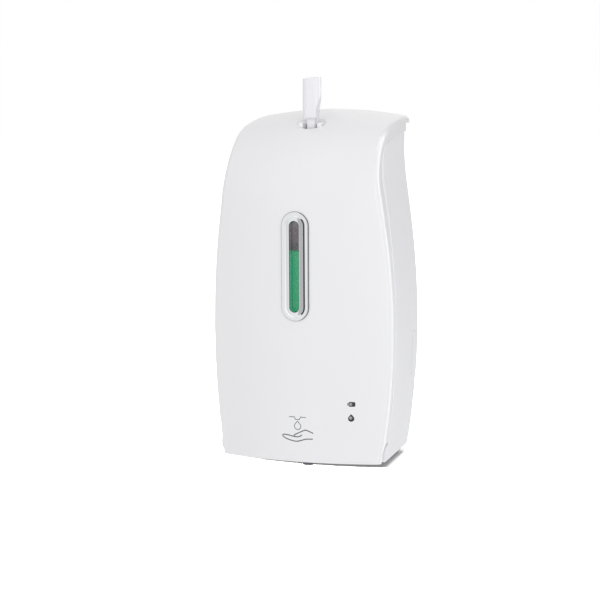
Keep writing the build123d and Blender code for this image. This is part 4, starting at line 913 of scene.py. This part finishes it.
class DISPENSER_OT_cover(Dispenser, bpy.types.Operator):
    """Finishes the cover, the key and the latch"""

    bl_idname = "dispenser.cover"
    bl_label = "Cover and lock"

    def execute(self, context):
        colours = context.scene.dispenser_colours
        gloss = {"grain": 0.00001, "grain_scale": 500.0, "cloud": 0.02, "coat": 0.25}
        self.paint(moulded("cover_gloss", colours.cover, roughness=0.3, **gloss), "front_cover")
        key = moulded("key_gloss", colours.key, roughness=0.22, grain=0.00001, grain_scale=700.0, coat=0.4)
        self.paint(key, "release_key")
        latch = moulded("latch_satin", (0.9, 0.9, 0.91), roughness=0.42)
        self.paint(latch, "cover_latch", "latch_keeper")
        steel = plain_metal("spring_steel", (0.55, 0.55, 0.56), roughness=0.25)
        self.paint(steel, "hinge_pins", "latch_spring")
        return {"FINISHED"}


class DISPENSER_OT_window(Dispenser, bpy.types.Operator):
    """Makes the window frame and finishes the window and the indicator lenses"""

    bl_idname = "dispenser.window"
    bl_label = "Window"

    def execute(self, context):
        scene = context.scene
        sizes = scene.dispenser_window
        ring = window_ring(sizes, scene.dispenser_cover)
        chrome = polished_chrome(scene.dispenser_colours.chrome, sizes)
        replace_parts(add_piece("window_frame", *ring, chrome, "cover", "bezel_chrome"), "window_bezel")
        # The window's second colour is its painted shade along the slot's edge.
        self.paint(window_plastic((0.97, 0.985, 0.98), (0.22, 0.34, 0.29), sizes), "window_lens")
        gloss = {"grain": 0.000005, "cloud": 0.15, "coat": 0.4}
        self.paint(moulded("light_guide", (0.42, 0.42, 0.44), roughness=0.15, **gloss), "indicator_lenses")
        return {"FINISHED"}


class DISPENSER_OT_housing(Dispenser, bpy.types.Operator):
    """Finishes the wall housing and the inner frame"""

    bl_idname = "dispenser.housing"
    bl_label = "Housing and frame"

    def execute(self, context):
        colours = context.scene.dispenser_colours
        housing = moulded("housing_satin", colours.housing, roughness=0.4, grain=0.00003, grain_scale=800.0)
        self.paint(housing, "rear_housing")
        satin = {"grain": 0.00004, "grain_scale": 700.0, "cloud": 0.08}
        self.paint(moulded("frame_satin", colours.frame, roughness=0.48, **satin), "mechanism_frame")
        return {"FINISHED"}


class DISPENSER_OT_tank(Dispenser, bpy.types.Operator):
    """Finishes the tank, its lid, the soap, the coupler, the tube and the nozzle"""

    bl_idname = "dispenser.tank"
    bl_label = "Tank and outlet"

    def execute(self, context):
        self.paint(tank_plastic((0.90, 0.93, 0.93)), "soap_tank")
        # The soap's glow is painted light.
        self.paint(soap_liquid(context.scene.dispenser_colours.soap, glow=0.85), "soap_fill")
        self.paint(moulded("lid_satin", (0.16, 0.165, 0.18), roughness=0.45), "tank_lid")
        self.paint(moulded("coupler_satin", (0.28, 0.29, 0.31), roughness=0.45), "tank_coupler")
        self.paint(soft_rubber("seal_rubber", (0.045, 0.045, 0.052), roughness=0.55), "outlet_seal")
        self.paint(soft_rubber("nozzle_rubber", (0.1, 0.105, 0.125), roughness=0.5), "nozzle")
        self.paint(soft_rubber("tube_silicone", (0.66, 0.66, 0.62), roughness=0.35), "pump_tube")
        return {"FINISHED"}


class DISPENSER_OT_pump(Dispenser, bpy.types.Operator):
    """Finishes the roller pump, its gears and the motor"""

    bl_idname = "dispenser.pump"
    bl_label = "Pump and drive"

    def execute(self, context):
        pump = context.scene.dispenser_colours.pump
        case = moulded("pump_satin", pump, roughness=0.45, grain=0.00005, grain_scale=650.0, cloud=0.1)
        self.paint(case, "pump_housing", "pump_cover", "gear_cover", "motor_cap")
        rollers = [f"pump_roller_{number}" for number in (1, 2, 3)]
        acetal = moulded("gear_acetal", (0.74, 0.73, 0.68), roughness=0.35, grain=0.00001, cloud=0.05)
        self.paint(acetal, "pump_rotor", "rotor_gear", "reduction_gear", *rollers)
        self.paint(plain_metal("pinion_brass", (0.72, 0.52, 0.2), roughness=0.28), "motor_gear")
        plated = plain_metal("motor_plated", (0.60, 0.60, 0.61), roughness=0.3, lines=(1.0, 0.1, 1.0))
        self.paint(plated, "motor_can")
        steel = plain_metal("shaft_steel", (0.62, 0.62, 0.63), roughness=0.22, lines=(0.1, 1.0, 1.0))
        self.paint(steel, "roller_pins", "rotor_shaft", "reduction_shaft", "motor_shaft")
        return {"FINISHED"}


class DISPENSER_OT_electronics(Dispenser, bpy.types.Operator):
    """Finishes the boards, the switch, the lights and the hand sensor"""

    bl_idname = "dispenser.electronics"
    bl_label = "Electronics"

    def execute(self, context):
        mask = context.scene.dispenser_colours.board
        self.paint(circuit_board("control_board", mask, across=0, up=2), "control_board")
        self.paint(circuit_board("sensor_board", mask, across=0, up=1), "sensor_board")
        matt = {"grain": 0.00003, "grain_scale": 1500.0, "cloud": 0.1}
        epoxy = moulded("chip_epoxy", (0.02, 0.02, 0.022), roughness=0.5, **matt)
        self.paint(epoxy, "board_chips", "switch_slider")
        self.paint(plain_metal("switch_tin", (0.6, 0.6, 0.58), roughness=0.35), "switch_frame")
        lamp = clear_plastic("lamp_clear", (0.85, 0.25, 0.2), roughness=0.08, haze=0.1)
        self.paint(lamp, "indicator_lights")
        gloss = {"grain": 0.000005, "grain_scale": 300.0, "cloud": 0.1, "coat": 0.5}
        dark = moulded("sensor_window", (0.012, 0.006, 0.01), roughness=0.12, **gloss)
        self.paint(dark, "sensor_lens", "sensor_eyes")
        return {"FINISHED"}


class DISPENSER_OT_battery(Dispenser, bpy.types.Operator):
    """Finishes the battery box, its door, the cells and the contacts"""

    bl_idname = "dispenser.battery"
    bl_label = "Battery box"

    def execute(self, context):
        colours = context.scene.dispenser_colours
        box = moulded("box_satin", colours.pump, roughness=0.5, grain=0.00005, grain_scale=700.0, cloud=0.1)
        self.paint(box, "battery_box", "battery_door")
        self.paint(cell_jacket(colours.cell, colours.cell_band), "battery_cells")
        self.paint(plain_metal("contact_nickel", (0.66, 0.64, 0.6), roughness=0.3), "battery_contacts")
        return {"FINISHED"}


class DISPENSER_OT_fasteners(Dispenser, bpy.types.Operator):
    """Puts threaded, cross-recessed screws and a round-wire spring in place of the plain ones"""

    bl_idname = "dispenser.fasteners"
    bl_label = "Screws and spring"

    def execute(self, context):
        sizes = context.scene.dispenser_fasteners
        zinc = plain_metal("screw_zinc", (0.62, 0.62, 0.6), roughness=0.3)
        for node in (name for name in sorted(nodes) if name.endswith("_screws")):
            parts = [pan_screw(*screw_axis(points), sizes) for points in islands(node)]
            piece = add_piece(node + "_cross", *joined(parts), zinc, nodes[node]["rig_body"], "steel")
            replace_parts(piece, node)
        low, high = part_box("latch_spring")
        middle = ((low.x + high.x) / 2, (low.y + high.y) / 2, 0.0)
        radius = (high.x - low.x - SPRING_WIRE) / 2
        turned = coil(middle, radius, SPRING_WIRE, low.z, high.z, SPRING_TURNS)
        steel = nodes["latch_spring"].data.materials[0]
        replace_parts(add_piece("latch_spring_coil", *turned, steel, "cover", "steel"), "latch_spring")
        return {"FINISHED"}


class DISPENSER_OT_signs(Dispenser, bpy.types.Operator):
    """Prints the hand sign and the two icons on the cover"""

    bl_idname = "dispenser.signs"
    bl_label = "Signs"

    def execute(self, context):
        scene = context.scene
        cover, sizes = scene.dispenser_cover, scene.dispenser_signs
        ink = printed_ink("sign_ink", scene.dispenser_colours.sign)
        lines = (HAND_BACK, HAND_FINGER, HAND_THUMB)
        hand = [curve_through(np.array(line) * MM, HAND_STEPS) for line in lines]
        parts = [stroke(line, sizes.line, sizes.ink, cover) for line in hand]
        add_piece("hand_sign", *joined(parts), ink, "cover", "smoked_lens")
        edges = np.array([*zip(SPOUT_LINE[:-1], SPOUT_LINE[1:]), *SHELF_LINES]) * MM
        spout = [np.linspace(start, end, EDGE_STEPS) for start, end in edges]
        parts = [stroke(line, sizes.thin_line, sizes.ink, cover) for line in spout]
        add_piece("spout_sign", *joined(parts), ink, "cover", "smoked_lens")
        drop = stroke(drop_outline(**SIGN_DROP), sizes.thin_line, sizes.ink, cover, closed=True)
        add_piece("drop_sign", *drop, ink, "cover", "smoked_lens")
        self.icons(cover, sizes.film, scene.dispenser_colours.icon)
        return {"FINISHED"}

    def icons(self, cover, thickness, colour):
        """Battery and drop of dark film round the two indicator lights."""
        dark = moulded("icon_film", colour, roughness=0.25, grain=0.000005, cloud=0.15, coat=0.3)
        lights = sorted(islands("indicator_lenses"), key=lambda points: -points[:, 2].mean())
        upper, lower = [(points[:, 2].min() + points[:, 2].max()) / 2 - COVER_BOTTOM for points in lights]
        middle = lights[0][:, 0].mean()
        radius = np.ptp(lights[0][:, 0]) / 2 + ICON_GAP
        low, high = upper - BATTERY_HALF_HEIGHT, upper + BATTERY_HALF_HEIGHT
        body = round_box(middle - BATTERY_LEFT, middle + BATTERY_RIGHT, low, high, BATTERY_CORNER)
        cap_low = (middle - BATTERY_CAP_LEFT, upper - BATTERY_CAP_HALF_HEIGHT)
        cap_high = (middle - BATTERY_CAP_LEFT, upper + BATTERY_CAP_HALF_HEIGHT)
        cap = np.linspace(cap_low, cap_high, EDGE_STEPS)
        parts = [
            film(body, circle(middle, upper, radius), thickness, cover),
            stroke(cap, BATTERY_CAP_WIDTH, thickness, cover),
        ]
        add_piece("battery_icon", *joined(parts), dark, "cover", "smoked_lens")
        drop = drop_outline(middle + SOAP_RIGHT, lower - SOAP_DOWN, SOAP_RADIUS, SOAP_REACH)
        soap = film(drop, circle(middle, lower, radius, len(drop)), thickness, cover)
        add_piece("soap_icon", *soap, dark, "cover", "smoked_lens")


def direction(bearing, lift):
    """Unit vector towards a bearing from straight ahead, lifted off the level."""
    return Vector((math.sin(bearing) * math.cos(lift), -math.cos(bearing) * math.cos(lift), math.sin(lift)))


class DISPENSER_OT_stage(Dispenser, bpy.types.Operator):
    """Makes the floor, the soft lights and the camera"""

    bl_idname = "dispenser.stage"
    bl_label = "Stage"

    def soft_light(self, name, bearing, height, size, energy):
        """Soft rectangular light aimed at the dispenser, from a bearing and a height in degrees."""
        away = direction(math.radians(bearing), math.radians(height))
        lamp = bpy.data.lights.new(name, "AREA")
        lamp.shape = "RECTANGLE"
        lamp.size, lamp.size_y = size
        lamp.energy = energy
        light = bpy.data.objects.new(name, lamp)
        light.location = LIGHT_REACH * away
        light.rotation_euler = (-away).to_track_quat("-Z", "Y").to_euler()
        bpy.context.scene.collection.objects.link(light)
        return light

    def floor(self, level):
        """Square floor under the nozzle: dark, under strong lights of its own, and brighter further out."""
        finish = Finish("floor_paper", Roughness=1.0, Specular_IOR_Level=0.0, Emission_Strength=1.0)
        finish.set(Base_Color=finish.tones(finish.noise(3.0), WHITE, *FLOOR_TONES))
        away = finish.node("ShaderNodeVectorMath", {"operation": "LENGTH"}, {0: finish.point}, "Value")
        glow = finish.clamp(away, *FLOOR_GLOW_REACH)
        finish.set(Emission_Color=finish.tones(glow, WHITE, *FLOOR_GLOW))
        reach = np.linspace(-FLOOR_HALF, FLOOR_HALF, FLOOR_LINES)
        x, y = np.meshgrid(reach, reach)
        points = np.stack([x, y, np.full_like(x, level)], axis=-1)
        floor = add_object("floor", points, grid_faces(*x.shape), finish.material)
        floor.visible_diffuse = floor.visible_glossy = floor.visible_transmission = False
        return floor

    def card(self, name, start, end, low, high):
        """Upright card that only reflections see: a stretch of a cylinder round the cover's front."""
        finish = Finish(name, Roughness=0.9, Emission_Strength=1.0, Base_Color=shade(WHITE, CARD_TONE))
        level = finish.clamp(finish.axis(2), *CARD_FADE)
        finish.set(Emission_Color=finish.tones(level, WHITE, low, high))
        bearings = np.radians(np.linspace(start, end, CARD_COLUMNS))
        bearing, height = np.meshgrid(bearings, np.linspace(*CARD_LEVELS, CARD_ROWS))
        x, y = CARD_REACH * np.sin(bearing), COVER_FRONT - CARD_REACH * np.cos(bearing)
        points = np.stack([x, y, height], axis=-1)
        card = add_object(name, points, grid_faces(*x.shape), finish.material)
        card.visible_camera = card.visible_diffuse = card.visible_transmission = card.visible_shadow = False

    def surroundings(self, strength, bounce):
        """White all round: plain to the camera and in reflections, softer as a light, stronger from below."""
        world = bpy.data.worlds.new("studio")
        bpy.context.scene.world = world
        world.use_nodes = True
        world.node_tree.nodes.clear()
        sky = ShaderNodes(world.node_tree)
        towards = sky.node("ShaderNodeTexCoord", output="Generated")
        height = sky.node("ShaderNodeSeparateXYZ", {}, {"Vector": towards}, "Z")
        ends = {"From Min": BOUNCE_FULL, "From Max": 0.0, "To Min": bounce, "To Max": strength}
        softened = sky.node("ShaderNodeMapRange", {}, {"Value": height, **ends})
        seen = sky.node("ShaderNodeBackground", {}, {"Color": WHITE})
        light = sky.node("ShaderNodeBackground", {}, {"Color": WHITE, "Strength": softened})
        diffuse = sky.node("ShaderNodeLightPath", output="Is Diffuse Ray")
        mixed = sky.node("ShaderNodeMixShader", {}, {0: diffuse, 1: seen, 2: light})
        sky.feed(world.node_tree.nodes.new("ShaderNodeOutputWorld").inputs["Surface"], mixed)

    def camera(self, settings):
        """Camera at the photograph's angle: back is the direction from the object to the camera."""
        yaw = settings.camera_yaw
        back = direction(yaw, settings.camera_pitch)
        right = Vector((math.cos(yaw), math.sin(yaw), 0.0))
        turn = Matrix((right, back.cross(right), back)).transposed()
        data = bpy.data.cameras.new("camera")
        data.sensor_width = SENSOR_WIDTH
        data.lens = settings.focal_length
        data.clip_start, data.clip_end = VIEW_RANGE
        camera = bpy.data.objects.new("camera", data)
        camera.matrix_world = Matrix.Translation(settings.camera_place) @ turn.to_4x4()
        bpy.context.scene.collection.objects.link(camera)
        bpy.context.scene.camera = camera

    def execute(self, context):
        settings = context.scene.dispenser_stage
        context.scene.view_settings.view_transform = "Standard"
        self.camera(settings)
        floor = self.floor(cad_low.z - FLOOR_GAP)
        self.surroundings(settings.ambient, settings.bounce)
        self.soft_light("key_light", *KEY_LIGHT, settings.key_power)
        self.soft_light("fill_light", *FILL_LIGHT, settings.fill_power)
        floor_only = bpy.data.collections.new("floor_only")
        floor_only.objects.link(floor)
        grazing = self.soft_light("grazing_light", *GRAZING_LIGHT, settings.grazing_power)
        overhead = self.soft_light("floor_light", *OVERHEAD_LIGHT, settings.floor_power)
        for light in (grazing, overhead):
            light.light_linking.receiver_collection = floor_only
            light.visible_camera = light.visible_glossy = light.visible_transmission = False
        for card in CARDS:
            self.card(*card)
        return {"FINISHED"}


OPERATORS = (
    DISPENSER_OT_stage,
    DISPENSER_OT_cover,
    DISPENSER_OT_window,
    DISPENSER_OT_housing,
    DISPENSER_OT_tank,
    DISPENSER_OT_pump,
    DISPENSER_OT_electronics,
    DISPENSER_OT_battery,
    DISPENSER_OT_fasteners,
    DISPENSER_OT_signs,
)


class DISPENSER_PT_panel(bpy.types.Panel):
    """Lists the dispenser's operators"""

    bl_idname = "DISPENSER_PT_panel"
    bl_label = "Soap dispenser"
    bl_space_type = "VIEW_3D"
    bl_region_type = "UI"
    bl_category = "Dispenser"

    def draw(self, context):
        for operator in OPERATORS:
            self.layout.operator(operator.bl_idname)


SETTINGS = {
    "dispenser_colours": DispenserColours,
    "dispenser_cover": CoverSurface,
    "dispenser_window": WindowFrameSizes,
    "dispenser_signs": SignSizes,
    "dispenser_fasteners": FastenerSizes,
    "dispenser_stage": StageSettings,
}
CLASSES = (*SETTINGS.values(), *OPERATORS, DISPENSER_PT_panel)


def register():
    """Registers the classes and hangs the settings on the scene."""
    for cls in CLASSES:
        bpy.utils.register_class(cls)
    for name, group in SETTINGS.items():
        setattr(bpy.types.Scene, name, bpy.props.PointerProperty(type=group))


def unregister():
    """Takes the settings and classes away again."""
    for name in SETTINGS:
        delattr(bpy.types.Scene, name)
    for cls in reversed(CLASSES):
        bpy.utils.unregister_class(cls)


def main():
    """Runs every operator in order."""
    register()
    for operator in OPERATORS:
        group, name = operator.bl_idname.split(".")
        getattr(getattr(bpy.ops, group), name)()


if __name__ == "__main__":
    main()
